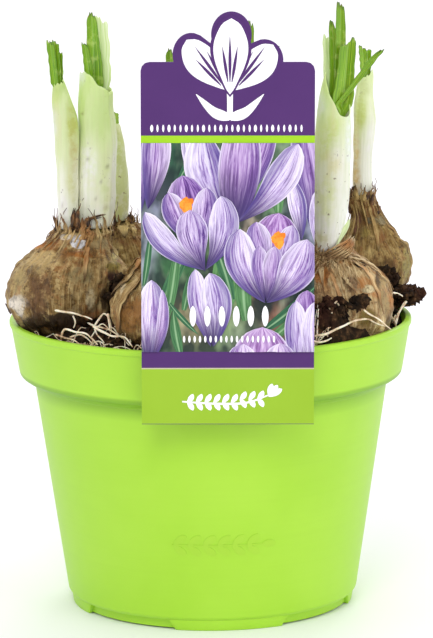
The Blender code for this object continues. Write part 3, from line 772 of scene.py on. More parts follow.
def add_corm(name):
    """A corm: a ball drawn out and lumped, over which add_loose_tunic lays loose layers of tunic.
    """
    skin = Skin(name)
    bpy.ops.object.select_all(action="DESELECT")
    bpy.ops.mesh.primitive_uv_sphere_add(segments=CORM_SIDES, ring_count=CORM_ROWS, radius=1)
    corm = bpy.context.object
    corm.name = name + "_body"
    strands = corm.data.attributes.new("strand", "FLOAT_VECTOR", "POINT")
    for vert, strand in zip(corm.data.vertices, strands.data):
        turn = math.atan2(vert.co.x, -vert.co.y)
        share = math.acos(min(1, max(-1, vert.co.z))) / math.pi
        strand.vector = (math.sin(turn), math.cos(turn), share)
        vert.co = skin.spot(turn, share)
    corm.data.update()
    stains_and_painted_light(corm, name, skin.centre)
    settle(corm, tunic_finish(skin.kind), "corm", name)
    return corm


def tree_of(obj):
    """A search tree of an object's surface."""
    bm = bmesh.new()
    bm.from_mesh(obj.data)
    tree = BVHTree.FromBMesh(bm)
    bm.free()
    return tree


TUNICS = {  # shade, middle and light of the fibres, then the patches, as 8-bit colours
    "mottled": ((66, 40, 14), (142, 108, 54), (218, 192, 134), (170, 98, 36)),
    "straw": ((104, 66, 30), (182, 144, 88), (238, 218, 168), (198, 122, 56)),
    "brown": ((68, 44, 18), (146, 112, 56), (210, 184, 120), (146, 90, 48)),
}


@cache
def tunic_finish(kind):
    shade, middle, light, patch = (srgb(*colour) for colour in TUNICS[kind])
    tunic = Finish("tunic_" + kind, {"Roughness": 0.55, "Specular IOR Level": 0.4})
    strand = tunic.attribute("strand")
    place = tunic.place()
    lines = tunic.grain(tunic.stretched(strand, (26, 26, 7)), 1, 4, 0.65, 0.3)
    fibres = tunic.ramp(lines, (0.34, shade), (0.48, middle), (0.66, light))
    flecks = tunic.grain(place, 330, 5, 0.75)
    skin = tunic.ramp(flecks, (0.36, shade), (0.48, middle), (0.62, light))
    fade = {"mottled": ((0.3, 0.95), (0.62, 0.35)), "straw": ((0.1, 0.3), (0.7, 0.35)),
            "brown": ((0.2, 0.5), (0.7, 0.4))}[kind]
    wander = tunic.sums("MULTIPLY", tunic.sums("SUBTRACT", tunic.grain(place, 90, 3), 0.5), 0.8)
    level = tunic.sums("ADD", tunic.split(strand, 2), wander)
    colour = tunic.mix(tunic.ramp(level, *fade), fibres, skin)
    blotches = tunic.grain(place, 140, 4, 0.65)
    colour = tunic.mix(tunic.ramp(blotches, (0.52, 0.0), (0.66, 0.6)), colour, patch)
    ring = tunic.ramp(level, (0.14, 0.0), (0.2, 0.5), (0.25, 0.5), (0.34, 0.0))
    colour = tunic.mix(ring, colour, patch)
    pale = tunic.grain(place, 170, 4, 0.65)
    colour = tunic.mix(tunic.ramp(pale, (0.54, 0.0), (0.68, 0.7)), colour, light)
    low = tunic.ramp(level, (0.0, 0.3), (0.1, 0.0), (0.66, 0.0), (0.84, 0.8))
    colour = tunic.mix(low, colour, srgb(50, 32, 20))
    # The stain attribute mixes in real stains and torn patches, and also painted highlights and
    # painted shade.
    stain_and_light_attribute = tunic.node("Attribute", {}, attribute_name="stains_and_painted_light").outputs
    torn = tunic.ramp(tunic.grain(place, 300, 5, 0.7), (0.4, 0.45), (0.6, 1.4))
    torn = tunic.sums("MULTIPLY", stain_and_light_attribute["Alpha"], torn)
    mottled = tunic.ramp(flecks, (0.37, 0.42), (0.47, 0.85), (0.55, 1.0))
    own = tunic.mix(0.85, stain_and_light_attribute["Color"], mottled, "MULTIPLY")
    colour = tunic.mix(tunic.ramp(torn, (0.25, 0.0), (0.6, 0.95)), colour, own)
    spots = tunic.grain(place, 760, 3, 0.7)
    tunic.colour(tunic.mix(tunic.ramp(spots, (0.56, 0.0), (0.68, 0.7)), colour, shade))
    tunic.roughness(flecks, 0.25, 0.7)
    fine = tunic.grain(tunic.stretched(strand, (110, 110, 9)), 1, 3, 0.6)
    height = tunic.sums("ADD", tunic.sums("MULTIPLY", lines, 1.2), fine)
    height = tunic.sums("ADD", height, tunic.sums("MULTIPLY", flecks, 1.3))
    tunic.bump(height, 0.8, 0.6 * MM)
    return tunic.material


# ---------------------------------------------------------------- loose tunic


def ribbon(name, spots, sides, widths, across=4, cup=0.0):
    """A strip laid along spots; sides gives its sideways direction at each, cup its hollow."""
    rows = len(spots) - 1
    strip = flat_sheet(name, across, rows)
    for vert in strip.data.vertices:
        row = round((vert.co.y + 0.5) * rows)
        ahead = spots[min(row + 1, rows)] - spots[max(row - 1, 0)]
        out = sides[row].cross(ahead).normalized()
        share = vert.co.x * 2
        width = widths[row]
        vert.co = spots[row] + sides[row] * share * width + out * width * cup * share**2
    return strip


FLAKE_ROWS = 14
SPIKE_ROWS = 10
SPIKE_BOUND = 0.4  # the share of a spike that still lies on the corm
SHOULDER = 0.2  # how far down the corm a spike leaves it


def torn_width(share, full, seed, ends=(0.12, 0.35)):
    """Half the width of a torn strip: tapered at both ends and ragged between them."""
    rise = min(1, share / ends[0]) if ends[0] else 1
    fall = min(1, (1 - share) / ends[1])
    ragged = 0.8 + 0.5 * noise.noise(Vector((share * 7, seed, 0)))
    return full * (0.1 + 0.9 * rise**0.7 * fall**0.8) * ragged


def add_flake(skin, turn, start, end, width, lift, drift, seed):
    """A torn layer of tunic that follows the corm down and stands off it at its end."""
    spots, sides, widths = [], [], []
    for row in range(FLAKE_ROWS + 1):
        share = row / FLAKE_ROWS
        along_turn = turn + drift * share
        level = start + (end - start) * share
        off = lift * (0.35 + share**2.5 * 1.5) + 0.15
        spots.append(skin.spot(along_turn, level, off))
        side = Vector((math.cos(along_turn), math.sin(along_turn), 0))
        sides.append(side)
        widths.append(torn_width(share, width * MM, seed))
    return ribbon("flake", spots, sides, widths, 5, -0.25)


def add_spike(skin, turn, start, length, width, spread, seed):
    """A fibre or flap of the torn neck: up over the shoulder, then free and pointed."""
    spots, sides, widths = [], [], []
    radial = Vector((math.sin(turn), -math.cos(turn), 0))
    lean = Vector((math.cos(turn), math.sin(turn), 0)) * noise.noise(Vector((seed, 3, 8))) * 0.8
    top = skin.spot(turn, SHOULDER, 0.3)
    for row in range(SPIKE_ROWS + 1):
        share = row / SPIKE_ROWS
        if share < SPIKE_BOUND:
            spot = skin.spot(turn, start + (SHOULDER - start) * share / SPIKE_BOUND, 0.35)
        else:
            free = (share - SPIKE_BOUND) / (1 - SPIKE_BOUND)
            drift = radial * spread * (1 - 0.35 * free) + lean * free
            spot = top + (UP * free + drift * free) * length * MM
            spot += Vector((ripple(Vector((seed, free * 3, 0)), 1, 0.7 * MM),
                            ripple(Vector((seed, free * 3, 5)), 1, 0.7 * MM), 0))
        spots.append(spot)
        sides.append(Vector((math.cos(turn), math.sin(turn), 0)))
        widths.append(width * MM * (1 - share**2.6) * (0.8 + ripple(
            Vector((share * 8, seed, 0)), 1, 0.5)) + 0.05 * MM)
    return ribbon("spike", spots, sides, widths, 3, -0.3)


# Count of flakes, flaps and fibres, width and lift of a flake, length and spread of a flap,
# and the finish of the loose pieces.
LOOSE = {
    "corm_left": (4, 17, 46, 0.9, 0.25, 7.6, -0.46, "mottled"),
    "corm_front": (10, 12, 24, 1.3, 0.4, 6.0, 0.0, "mottled"),
    "corm_right": (26, 12, 90, 0.9, 0.6, 5.0, 0.1, "straw"),
    "corm_back_right": (6, 12, 30, 0.7, 0.3, 5.0, -0.1, "brown"),
    "corm_back_left": (10, 14, 24, 1.4, 0.4, 5.0, 0.0, "brown"),
    "corm_middle": (10, 12, 24, 1.4, 0.4, 6.0, 0.0, "straw"),
    "corm_back": (12, 18, 30, 1.4, 0.4, 5.0, 0.0, "brown"),
}


def add_loose_tunic(name):
    flakes, flaps, fibres, width, lift, length, spread, kind = LOOSE[name]
    skin = Skin(name)
    strips = []
    for number in range(flakes):
        turn = (number + random.uniform(-0.4, 0.4)) * math.tau / flakes
        start = random.uniform(0.17, 0.42)
        end = min(0.8, start + random.uniform(0.12, 0.4))
        strips.append(add_flake(skin, turn, start, end, width * random.uniform(0.4, 1.4),
                                lift * random.uniform(0.3, 1.2), random.uniform(-0.3, 0.3),
                                number * 3.7))
    for number in range(flaps):
        turn = (number + random.uniform(-0.45, 0.45)) * math.tau / flaps
        strips.append(add_spike(skin, turn, random.uniform(0.2, 0.29),
                                length * random.uniform(0.3, 0.95), random.uniform(0.7, 1.6),
                                spread + random.uniform(-0.3, 0.3), number * 5.1))
    for number in range(fibres):
        turn = (number + random.uniform(-0.45, 0.45)) * math.tau / fibres
        strips.append(add_spike(skin, turn, random.uniform(0.2, 0.42),
                                length * random.uniform(0.1, 1.1) ** 1.3,
                                random.uniform(0.12, 0.35),
                                spread + random.uniform(-0.5, 0.9), number * 7.3))
    loose = joined(name + "_loose_tunic", strips)
    modify(loose, "SOLIDIFY", thickness=FIBRE_THICKNESS, offset=0)
    settle(loose, loose_finish(kind), "corm")


@cache
def loose_finish(kind):
    shade, middle, light, patch = (srgb(*colour) for colour in TUNICS[kind])
    paper = Finish("loose_" + kind, {"Roughness": 0.5, "Specular IOR Level": 0.4})
    place = paper.place()
    lines = paper.grain(paper.stretched(paper.uv(), (7, 1.2, 1)), 2.2, 4, 0.6)
    colour = paper.ramp(lines, (0.34, shade), (0.5, middle), (0.64, light))
    zones = paper.grain(place, 170, 3)
    colour = paper.mix(paper.ramp(zones, (0.48, 0.0), (0.66, 0.6)), colour, light)
    warm = paper.grain(place, 95, 2)
    colour = paper.mix(paper.ramp(warm, (0.5, 0.0), (0.66, 0.5)), colour, patch)
    end = paper.ramp(paper.split(paper.uv(), 1), (0.62, 0.0), (0.95, 0.75))
    paper.colour(paper.mix(end, colour, shade))
    paper.bump(lines, 0.6, 0.3 * MM)
    return paper.material


# Dark tufts and stray fibres: foot, tip, count, how far they spread, and half width.
TUFTS = (
    ((-39.4, -18.6, 115.4), (-39.1, -17.4, 121), 18, 1.2, 0.42),
    ((-39.1, -17, 120), (-37, -17, 124.6), 2, 0.15, 0.14),
    ((-35.9, -17.6, 116.8), (-35.9, -17, 119.2), 16, 0.9, 0.5),
    ((-35.4, -17.6, 118.2), (-29.4, -15.4, 119.3), 3, 0.4, 0.16),
    ((-44.6, -13.5, 114), (-45.6, -13, 119.3), 9, 0.7, 0.5),
    # Painted shade: this tuft of dark fibres stands in the shadowed gap by the right edge of the
    # big left shoot.
    ((-29.2, -11, 113), (-28.9, -10, 118), 9, 0.8, 0.4),
    ((42.9, 15.8, 115), (43.2, 14.6, 122.6), 9, 0.7, 0.45),
    ((43, 14.8, 121.6), (44.3, 14.4, 122.8), 3, 0.3, 0.3),
    ((46.8, 14, 117), (48, 14, 121.6), 6, 0.5, 0.5),
    ((48.9, 14.6, 116), (49.5, 14, 120.8), 8, 0.6, 0.5),
    ((50.2, 15.8, 113.4), (50.9, 15.6, 116.6), 8, 0.9, 0.5),
    ((-23.6, 17.6, 110.4), (-24.1, 18, 115.8), 10, 0.8, 0.5),
    # Painted shade: this tuft of dark fibres stands in the shadowed gap between the big left shoot
    # and the one behind it.
    ((-28.6, 11.5, 112), (-28.6, 12, 117), 8, 0.7, 0.35),
    ((58, 1, 92), (63, -1, 93.6), 14, 1.5, 0.24),
    ((57, 1, 91), (61.6, -2, 90.4), 10, 1.4, 0.2),
    ((-59, -13.6, 89.6), (-61.4, -8, 92.4), 2, 0.5, 0.3),
)
TUFT_ROWS = 7
HAIRS = 70
STRAWS = 20
STRAW_ROWS = 12
TORN_FOOT, TORN_TOP = Vector((36.2, -27.2, 110.4)), Vector((40.9, -22.6, 118.6))
TORN_ROWS = 10
FIBRE_THICKNESS = 0.14 * MM
STRAW_PATH = (  # the highest and the lowest way round the foot of the right-hand shoot
    ((41.6, -19.5, 113.2), (42.6, -20.5, 111.2)), ((39.6, -24.8, 112.4), (42.0, -26.0, 109.0)),
    ((36.4, -27.4, 111.0), (40.0, -29.0, 107.4)), ((31.6, -27.6, 108.8), (36.4, -31.0, 105.6)),
)


def add_tuft(foot, tip, count, spread, width):
    """A few torn fibres that run side by side from a foot to a tip."""
    fibres = []
    for _ in range(count):
        shift = scatter(1) * spread
        start = Vector(foot) + shift
        end = Vector(tip) + shift * random.uniform(0.2, 0.9)
        end = start.lerp(end, random.uniform(0.55, 1.0))
        spots = []
        widths = []
        for row in range(TUFT_ROWS + 1):
            share = row / TUFT_ROWS
            spot = start.lerp(end, share)
            wave = Vector((ripple(spot, 2.5, 0.5), 0, ripple(spot + UP, 2.5, 0.5)))
            spots.append((spot + wave) * MM)
            widths.append(width * MM * (1 - share**2) + 0.04 * MM)
        side = Vector((end.z - start.z, 0, start.x - end.x)).normalized()
        fibres.append(ribbon("fibre", spots, [side] * (TUFT_ROWS + 1), widths, 2, -0.3))
    return fibres


def add_hair():
    """Straw fibres that sweep left over the right-hand corm and round its shoot's foot."""
    skin = Skin("corm_right")
    hair = []
    for number in range(HAIRS):
        turn = random.uniform(-0.5, 1.1)
        start = random.uniform(0.1, 0.26)
        hair.append(add_flake(skin, turn, start, start + random.uniform(0.08, 0.3),
                              random.uniform(0.12, 0.24), random.uniform(0.3, 1.1),
                              random.uniform(-0.75, -0.25), number * 2.9))
    for _ in range(STRAWS):
        low = random.random()
        path = [Vector(high).lerp(Vector(deep), low) for high, deep in STRAW_PATH]
        path = [spot + scatter(0.5) for spot in path]
        shares = [row / STRAW_ROWS for row in range(STRAW_ROWS + 1)]
        spots = [along(path, share) * MM for share in shares]
        widths = [(0.06 + 0.26 * math.sin(math.pi * share)) * MM for share in shares]
        side = Vector((0.45, 0, 0.89))
        hair.append(ribbon("straw", spots, [side] * len(spots), widths, 2, -0.3))
    return hair


def add_tufts():
    dark = []
    for tuft in TUFTS:
        dark += add_tuft(*tuft)
    for name, fibres, finish in (("dark_tufts", dark, dark_fibre()),
                                 ("straw_hair", add_hair(), loose_finish("straw"))):
        tufts = joined(name, fibres)
        modify(tufts, "SOLIDIFY", thickness=FIBRE_THICKNESS, offset=0)
        settle(tufts, finish, "corm")


def add_torn_edge():
    """A thin strip of skin that has split from the foot of the right-hand shoot."""
    shares = [row / TORN_ROWS for row in range(TORN_ROWS + 1)]
    spots = [(TORN_FOOT.lerp(TORN_TOP, share) + ACROSS * math.sin(share * math.pi) * 0.3) * MM
             for share in shares]
    widths = [(0.12 + 0.75 * math.sin(math.pi * share**1.6)) * MM for share in shares]
    strip = ribbon("torn_edge", spots, [ACROSS] * len(spots), widths, 4, 0.3)
    modify(strip, "SOLIDIFY", thickness=0.2 * MM, offset=0)
    subdivide(strip, 1)
    settle(strip, bract_finish(), "sheath")


def dark_fibre():
    fibre = Finish("dark_fibre", {"Roughness": 0.6})
    shades = fibre.grain(fibre.place(), 500, 3)
    fibre.colour(fibre.ramp(shades, (0.38, srgb(40, 26, 14)), (0.52, srgb(84, 54, 26)),
                            (0.66, srgb(140, 98, 52))))
    fibre.bump(shades, 0.4, 0.1 * MM)
    return fibre.material


# ---------------------------------------------------------------- shoots

# The corm each stands on, its sections as (x, y, z, radius), its foot as (x, y, radius), the
# turn of its open seam in degrees, and how far its mouth rises at the left, then on round by
# the front, each a sixth of a turn further. Lengths are in millimetres.
SHEATHS = {
    "sheath_left_1": ("corm_left", ((-41.4, -14, 130, 3.4), (-41.5, -14, 146, 3.7),
                                    (-43.1, -14, 154.5, 2.6), (-43.8, -14, 158, 1.9)),
                      (-41.5, -14, 2.9), 70, (-0.4, 0, 0.3, 1.0, 1.4, 0.5)),
    "sheath_left_2": ("corm_left", ((-33.0, -10.5, 128, 5.9), (-32.7, -10.5, 140, 5.9),
                                    (-33.0, -10.5, 149, 5.5), (-33.0, -10.5, 157, 5.1)),
                      (-33.7, -10.5, 5.4), 48, (3.8, 4.0, -0.8, -1.6, 0.5, 3)),
    "sheath_back_left": ("corm_back_left", ((-28.2, 21.8, 124, 4.0), (-28.2, 21.8, 134, 2.9),
                                            (-28.1, 21.8, 141, 1.4)),
                         (-28.3, 21.8, 3.8), 10, (0, 0.5, 0.5, 0, -0.5, 0)),
    "sheath_front": ("corm_front", ((-12.4, -38, 128, 5.2), (-12.0, -38, 142, 4.4),
                                    (-11.8, -38, 152, 3.4)),
                     (-12.6, -38, 4.6), 140, (-2, 0, 1, 3, 1, -1)),
    "sheath_right": ("corm_right", ((34.9, -22, 120, 5.5), (35.7, -22, 136, 5.9),
                                    (36.4, -22, 145, 5.4), (37.2, -22, 152, 4.6)),
                     (33.4, -22, 4.1), 58, (9.6, 3.6, -3.4, 3.4, 3.5, 6)),
    "sheath_back_right": ("corm_back_right", ((46.3, 18, 131, 2.8), (46.9, 18, 142, 3.3),
                                              (47.0, 18, 150, 2.7), (47.3, 18, 156, 1.9)),
                          (46.3, 18, 3.0), -50, (-1, -0.5, 0.5, 1.4, 0.5, 0)),
    "sheath_middle": ("corm_middle", ((9.8, 3, 128, 5.2), (10.5, 3, 142, 4.6),
                                      (11.2, 2.6, 152, 3.4)),
                      (9.5, 3, 4.6), 20, (-2, 0, 1, 2.5, 1, 0)),
    "sheath_back_1": ("corm_back", ((8, 38.5, 128, 4.0), (7, 39, 142, 3.6),
                                    (6.4, 39.2, 152, 2.6)),
                      (8.4, 38.2, 3.4), 170, (-2, 0, 1, 2, 0, -1)),
    "sheath_back_2": ("corm_back", ((16.9, 39, 126, 3.8), (17.9, 39.5, 138, 3.3),
                                    (18.7, 40, 147, 2.4)),
                      (16.3, 38.6, 3.2), 200, (-1, 0, 1, 2, 0, -2)),
}
SHEATH_RINGS = 22
SHEATH_SIDES = 40
SHEATH_WALL = 0.45 * MM


def crown_top(corm):
    centre, _, height, _, _, _ = CORMS[corm]
    return centre[2] + height


def sheath_sections(name):
    """The sheath's sections from its corm up, as (centre, radius) in millimetres."""
    corm, rest, (x, y, radius), _, _ = SHEATHS[name]
    foot = (Vector((x, y, crown_top(corm) + 0.3)), radius)
    return [foot, *((Vector(section[:3]), section[3]) for section in rest)]


def add_sheath(name):
    """A pale sleeve: a tube drawn up, with one edge lapped over the other and a torn mouth."""
    sections = sheath_sections(name)
    _, _, _, seam, mouth = SHEATHS[name]
    centres = [centre for centre, _ in sections]
    radii = [radius for _, radius in sections]
    heights = [centre.z for centre in centres]
    rings = []
    for ring in range(SHEATH_RINGS + 1):
        share = ring / SHEATH_RINGS
        rings.append((along(centres, share) * MM, along(radii, share) * MM))
    sleeve = drawn_up(name + "_sleeve", rings, SHEATH_SIDES)
    low, high = heights[0] * MM, heights[-1] * MM
    seam = math.radians(seam)

    def shaped(spot, normal):
        share = min(1, max(0, (spot.z - low) / (high - low)))
        centre = along(centres, height_share(heights, spot.z / MM)) * MM
        offset = spot - centre
        offset.z = 0
        turn = math.atan2(offset.x, -offset.y)
        lap = ((turn - seam) / math.tau) % 1
        push = 0.55 * (lap - 0.5) * MM
        ribs = 0.11 * math.cos(turn * 22 + 2 * share) * MM
        soft = ripple(spot + UP, 6 * MM, 0.5 * MM) * min(1, 4 * share)
        tear = ripple(Vector((math.sin(turn) * 4, math.cos(turn) * 4, seam)), 1, 1.3 * MM)
        rise = all_round(mouth, turn / math.tau + 0.25) * MM + tear * 0.8
        rise *= max(0, share - 0.75) * 4
        return offset.normalized() * (push + ribs + soft - max(0, rise) * 0.1) + UP * rise

    sculpt(sleeve, shaped)
    out = 1 if outward_faces(sleeve, centres[0] * MM) else -1
    modify(sleeve, "SOLIDIFY", thickness=SHEATH_WALL, offset=-out)
    subdivide(sleeve, 1)
    stains_and_painted_light(sleeve, name, centres[0])
    settle(sleeve, sheath_finish(), "sheath", name)


def height_share(heights, height):
    """The share of the way along the sections at which a height lies."""
    for index in range(len(heights) - 1):
        if height <= heights[index + 1] or index == len(heights) - 2:
            part = (height - heights[index]) / (heights[index + 1] - heights[index])
            return (index + min(1, max(0, part))) / (len(heights) - 1)
    return 0.0


def outward_faces(obj, centre):
    """Whether an open tube's faces point away from its middle."""
    found = 0
    for face in obj.data.polygons:
        offset = face.center - centre
        offset.z = 0
        found += offset.dot(face.normal)
    return found > 0


@cache
def sheath_finish():
    skin = Finish("pale_sheath", {"Roughness": 0.38, "Specular IOR Level": 0.45,
                                  "Subsurface Weight": 0.35, "Subsurface Scale": 0.004})
    skin.shader.inputs["Subsurface Radius"].default_value = (1.0, 1.0, 0.8)
    place = skin.place()
    height = skin.split(place, 2)
    level = skin.node("MapRange", {"Value": height, "From Min": 0.112, "From Max": 0.158})
    drift = skin.grain(skin.stretched(place, (150, 150, 35)), 1, 3)
    level = skin.sums("ADD", level.outputs["Result"],
                      skin.sums("MULTIPLY", skin.sums("SUBTRACT", drift, 0.5), 1.2))
    colour = skin.ramp(level, (0.0, srgb(255, 254, 238)), (0.35, srgb(251, 253, 226)),
                       (0.62, srgb(234, 245, 186)), (0.85, srgb(216, 236, 160)),
                       (1.0, srgb(196, 224, 128)))
    # The stain attribute mixes in real specks and tints, and also painted shade down the shoot's
    # edges and painted light.
    stain_and_light_attribute = skin.node("Attribute", {}, attribute_name="stains_and_painted_light").outputs
    stain_and_light_share = skin.ramp(skin.grain(place, 420, 4, 0.6), (0.4, 0.6), (0.6, 1.2))
    stain_and_light_share = skin.sums("MULTIPLY", stain_and_light_attribute["Alpha"], stain_and_light_share)
    colour = skin.mix(skin.ramp(stain_and_light_share, (0.0, 0.0), (1.1, 0.9)), colour, stain_and_light_attribute["Color"])
    veins = skin.grain(skin.stretched(place, (1100, 1100, 30)), 1, 3)
    colour = skin.mix(skin.ramp(veins, (0.45, 0.0), (0.7, 0.28)), colour, srgb(206, 218, 150))
    ochre = skin.grain(skin.stretched(place, (170, 170, 40)), 1, 2)
    colour = skin.mix(skin.ramp(ochre, (0.58, 0.0), (0.72, 0.3)), colour, srgb(226, 212, 156))
    specks = skin.grain(place, 520, 3, 0.65)
    low = skin.ramp(level, (0.1, 1.0), (0.75, 0.2))
    dots = skin.mix(1.0, skin.ramp(specks, (0.655, 0.0), (0.69, 0.8)), low, "MULTIPLY")
    skin.colour(skin.mix(dots, colour, srgb(122, 104, 64)))
    skin.roughness(drift, 0.3, 0.5)
    skin.bump(veins, 0.25, 0.12 * MM)
    return skin.material


# The sheath each blade grows through, its tip, half its width at the mouth and near the tip,
# how deep it folds, how slantingly its tip is torn, and its finish.
BLADES = {
    "leaf_left_1": ("sheath_left_1", (-46.3, -14.8, 171.6), 1.2, 1.1, 0.5, 1.6, "leaf"),
    "leaf_left_2": ("sheath_left_1", (-45.0, -14.0, 172.2), 1.4, 1.2, 0.4, 2.2, "leaf"),
    "leaf_left_3": ("sheath_left_1", (-43.7, -13.2, 168.8), 1.3, 1.0, 0.5, -1.6, "leaf"),
    "leaf_left_4": ("sheath_left_2", (-36.4, -12.0, 170.8), 1.5, 0.9, 0.4, 1.8, "leaf"),
    "leaf_left_5": ("sheath_left_2", (-34.2, -10.6, 179.4), 2.9, 1.2, 0.3, 0.8, "leaf"),
    "bract_left": ("sheath_left_2", (-31.8, -9.2, 178.6), 3.4, 2.3, 0.3, 2.6, "bract"),
    "leaf_back_left": ("sheath_back_left", (-28.1, 21.8, 145.2), 0.9, 0.8, 0.4, 0.5, "leaf"),
    "leaf_front_1": ("sheath_front", (-8.6, -39.4, 163.0), 1.2, 1.0, 0.5, 1.2, "leaf"),
    "leaf_front_2": ("sheath_front", (-10.9, -38.0, 172.0), 1.4, 1.2, 0.5, 1.6, "leaf"),
    "leaf_front_3": ("sheath_front", (-14.0, -36.6, 168.0), 1.2, 0.7, 0.5, -1.4, "leaf"),
    "leaf_right_1": ("sheath_right", (50.2, -24.2, 169.4), 0.9, 1.2, 0.5, -1.6, "leaf"),
    "leaf_right_2": ("sheath_right", (40.6, -23.1, 173.4), 2.9, 2.3, 0.4, -4.0, "leaf"),
    "leaf_right_3": ("sheath_right", (38.3, -22.0, 183.0), 1.6, 1.4, 0.5, 1.4, "leaf"),
    "leaf_right_4": ("sheath_right", (35.8, -21.0, 177.6), 1.6, 1.0, 0.5, 1.6, "leaf"),
    "bract_right": ("sheath_right", (34.6, -19.9, 173.4), 1.6, 1.5, 0.5, 2.0, "bract"),
    "leaf_back_right_1": ("sheath_back_right", (46.0, 17.5, 165.4), 1.2, 1.2, 0.5, 1.2, "leaf"),
    "leaf_back_right_2": ("sheath_back_right", (47.8, 18.5, 164.6), 1.1, 1.0, 0.5, -1.4, "leaf"),
    "leaf_middle_1": ("sheath_middle", (9.0, 1.6, 167.0), 1.2, 1.0, 0.5, 1.2, "leaf"),
    "leaf_middle_2": ("sheath_middle", (12.5, 2.4, 175.4), 1.4, 0.9, 0.5, 1.6, "leaf"),
    "leaf_middle_3": ("sheath_middle", (14.6, 3.6, 165.0), 1.2, 1.0, 0.5, -1.2, "leaf"),
    "leaf_back_1": ("sheath_back_1", (8.4, 37.8, 165.0), 1.2, 1.0, 0.5, 1.2, "leaf"),
    "leaf_back_2": ("sheath_back_1", (5.0, 39.4, 172.0), 1.4, 1.2, 0.5, 1.6, "leaf"),
    "leaf_back_3": ("sheath_back_1", (2.6, 40.9, 162.0), 1.2, 1.0, 0.5, -1.2, "leaf"),
    "leaf_back_4": ("sheath_back_2", (17.4, 39.5, 159.0), 1.2, 1.0, 0.5, 1.2, "leaf"),
    "leaf_back_5": ("sheath_back_2", (20.8, 40.8, 163.0), 1.3, 1.1, 0.5, -1.4, "leaf"),
}


BLADE_ROWS = 34
HIDDEN_ROWS = 14  # how many of them lie inside the sheath
BLADE_CELLS = 10
BLADE_GAP = 0.85  # from one blade to the next in a sheath, in millimetres
BLADE_THICKNESS = 0.34 * MM


def add_blade(name, order, count):
    """A leaf or bract: a strip up through the sheath, folded, with a torn tip."""
    sheath, tip, low_width, width, fold, tear, kind = BLADES[name]
    sections = sheath_sections(sheath)
    centres = [centre for centre, _ in sections]
    shift = Vector((0, (order - (count - 1) / 2) * BLADE_GAP, 0))
    mouth = centres[-1] + shift
    tip = Vector(tip)
    drift = 0.9 if kind == "bract" else 0.45
    spread = Vector((max(-2.8, min(2.8, (tip.x - mouth.x) * drift)), 0, 0))
    if abs(tip.x - mouth.x) < 8:
        mouth = mouth + spread
    spots, widths = [], []
    for row in range(BLADE_ROWS + 1):
        if row < HIDDEN_ROWS:
            share = row / HIDDEN_ROWS
            spots.append((along(centres, share) + shift + spread * share**6) * MM)
            widths.append((0.4 + (low_width - 0.4) * max(0, share - 0.6) / 0.4) * MM)
            continue
        share = (row - HIDDEN_ROWS) / (BLADE_ROWS - HIDDEN_ROWS)
        bend = mouth.lerp(tip, 0.5) + (mouth - tip).cross(Vector((0, 1, 0))) * 0.02
        spot = mouth.lerp(bend, share).lerp(bend.lerp(tip, share), share)
        spots.append(spot * MM)
        ragged = 1 + 0.2 * noise.noise(Vector((share * 9, order * 3.1, width * 5)))
        end = 1 - 0.3 * max(0, share - 0.88) / 0.12
        widths.append((low_width + (width - low_width) * share) * end * ragged * MM)
    blade = ribbon(name + "_blade", spots, [ACROSS] * len(spots), widths, BLADE_CELLS)
    for index, vert in enumerate(blade.data.vertices):
        row = index // (BLADE_CELLS + 1)
        side = (vert.co.x - spots[row].x) / MM
        share = max(0, row - HIDDEN_ROWS) / (BLADE_ROWS - HIDDEN_ROWS)
        end = max(0, share - 0.72) / 0.28
        notch = abs(noise.noise(Vector((side * 2.3, order * 2.3, width * 9)))) * 3.2
        vert.co.y -= abs(side) * fold * MM
        vert.co.z -= (tear * side / width * 0.5 + abs(tear) * 0.5 + notch) * end**2 * MM
    blade.data.update()
    modify(blade, "SOLIDIFY", thickness=BLADE_THICKNESS, offset=0)
    subdivide(blade, 1)
    finish = leaf_finish() if kind == "leaf" else bract_finish()
    settle(blade, finish, kind, name)


@cache
def leaf_finish():
    leaf = Finish("young_leaf", {"Roughness": 0.36, "Specular IOR Level": 0.5,
                                 "Subsurface Weight": 0.08, "Subsurface Scale": 0.002})
    place, flat = leaf.place(), leaf.uv()
    lines = leaf.grain(leaf.stretched(flat, (16, 1.2, 1)), 1, 3)
    green = leaf.ramp(lines, (0.35, srgb(66, 114, 2)), (0.5, srgb(106, 156, 8)),
                      (0.66, srgb(160, 200, 50)))
    across = leaf.from_middle(flat)
    rib = leaf.ramp(across, (0.03, 0.4), (0.1, 0.0))
    green = leaf.mix(rib, green, srgb(166, 210, 96))
    edge = leaf.ramp(across, (0.44, 0.0), (0.495, 0.32))
    tip = leaf.ramp(leaf.split(flat, 1), (0.95, 0.0), (0.995, 0.8))
    green = leaf.mix(leaf.mix(1.0, edge, tip, "LIGHTEN"), green, srgb(58, 88, 26))
    height = leaf.node("MapRange", {"Value": leaf.split(place, 2), "From Min": 0.15,
                                    "From Max": 0.166})
    green = leaf.mix(leaf.ramp(height.outputs["Result"], (0.0, 0.45), (0.8, 0.0)), green,
                     srgb(158, 196, 54))
    worn = leaf.grain(place, 330, 4, 0.6)
    leaf.colour(leaf.mix(leaf.ramp(worn, (0.56, 0.0), (0.7, 0.5)), green, srgb(196, 216, 120)))
    leaf.roughness(lines, 0.28, 0.46)
    leaf.bump(lines, 0.35, 0.15 * MM)
    return leaf.material


@cache
def bract_finish():
    bract = Finish("pale_bract", {"Roughness": 0.42, "Subsurface Weight": 0.3,
                                  "Subsurface Scale": 0.002})
    bract.shader.inputs["Subsurface Radius"].default_value = (0.8, 1.0, 0.7)
    lines = bract.grain(bract.stretched(bract.uv(), (14, 1.4, 1)), 1, 3)
    bract.colour(bract.ramp(lines, (0.35, srgb(186, 212, 132)), (0.55, srgb(208, 226, 168)),
                            (0.72, srgb(228, 240, 204))))
    bract.bump(lines, 0.3, 0.12 * MM)
    return bract.material


# ---------------------------------------------------------------- roots

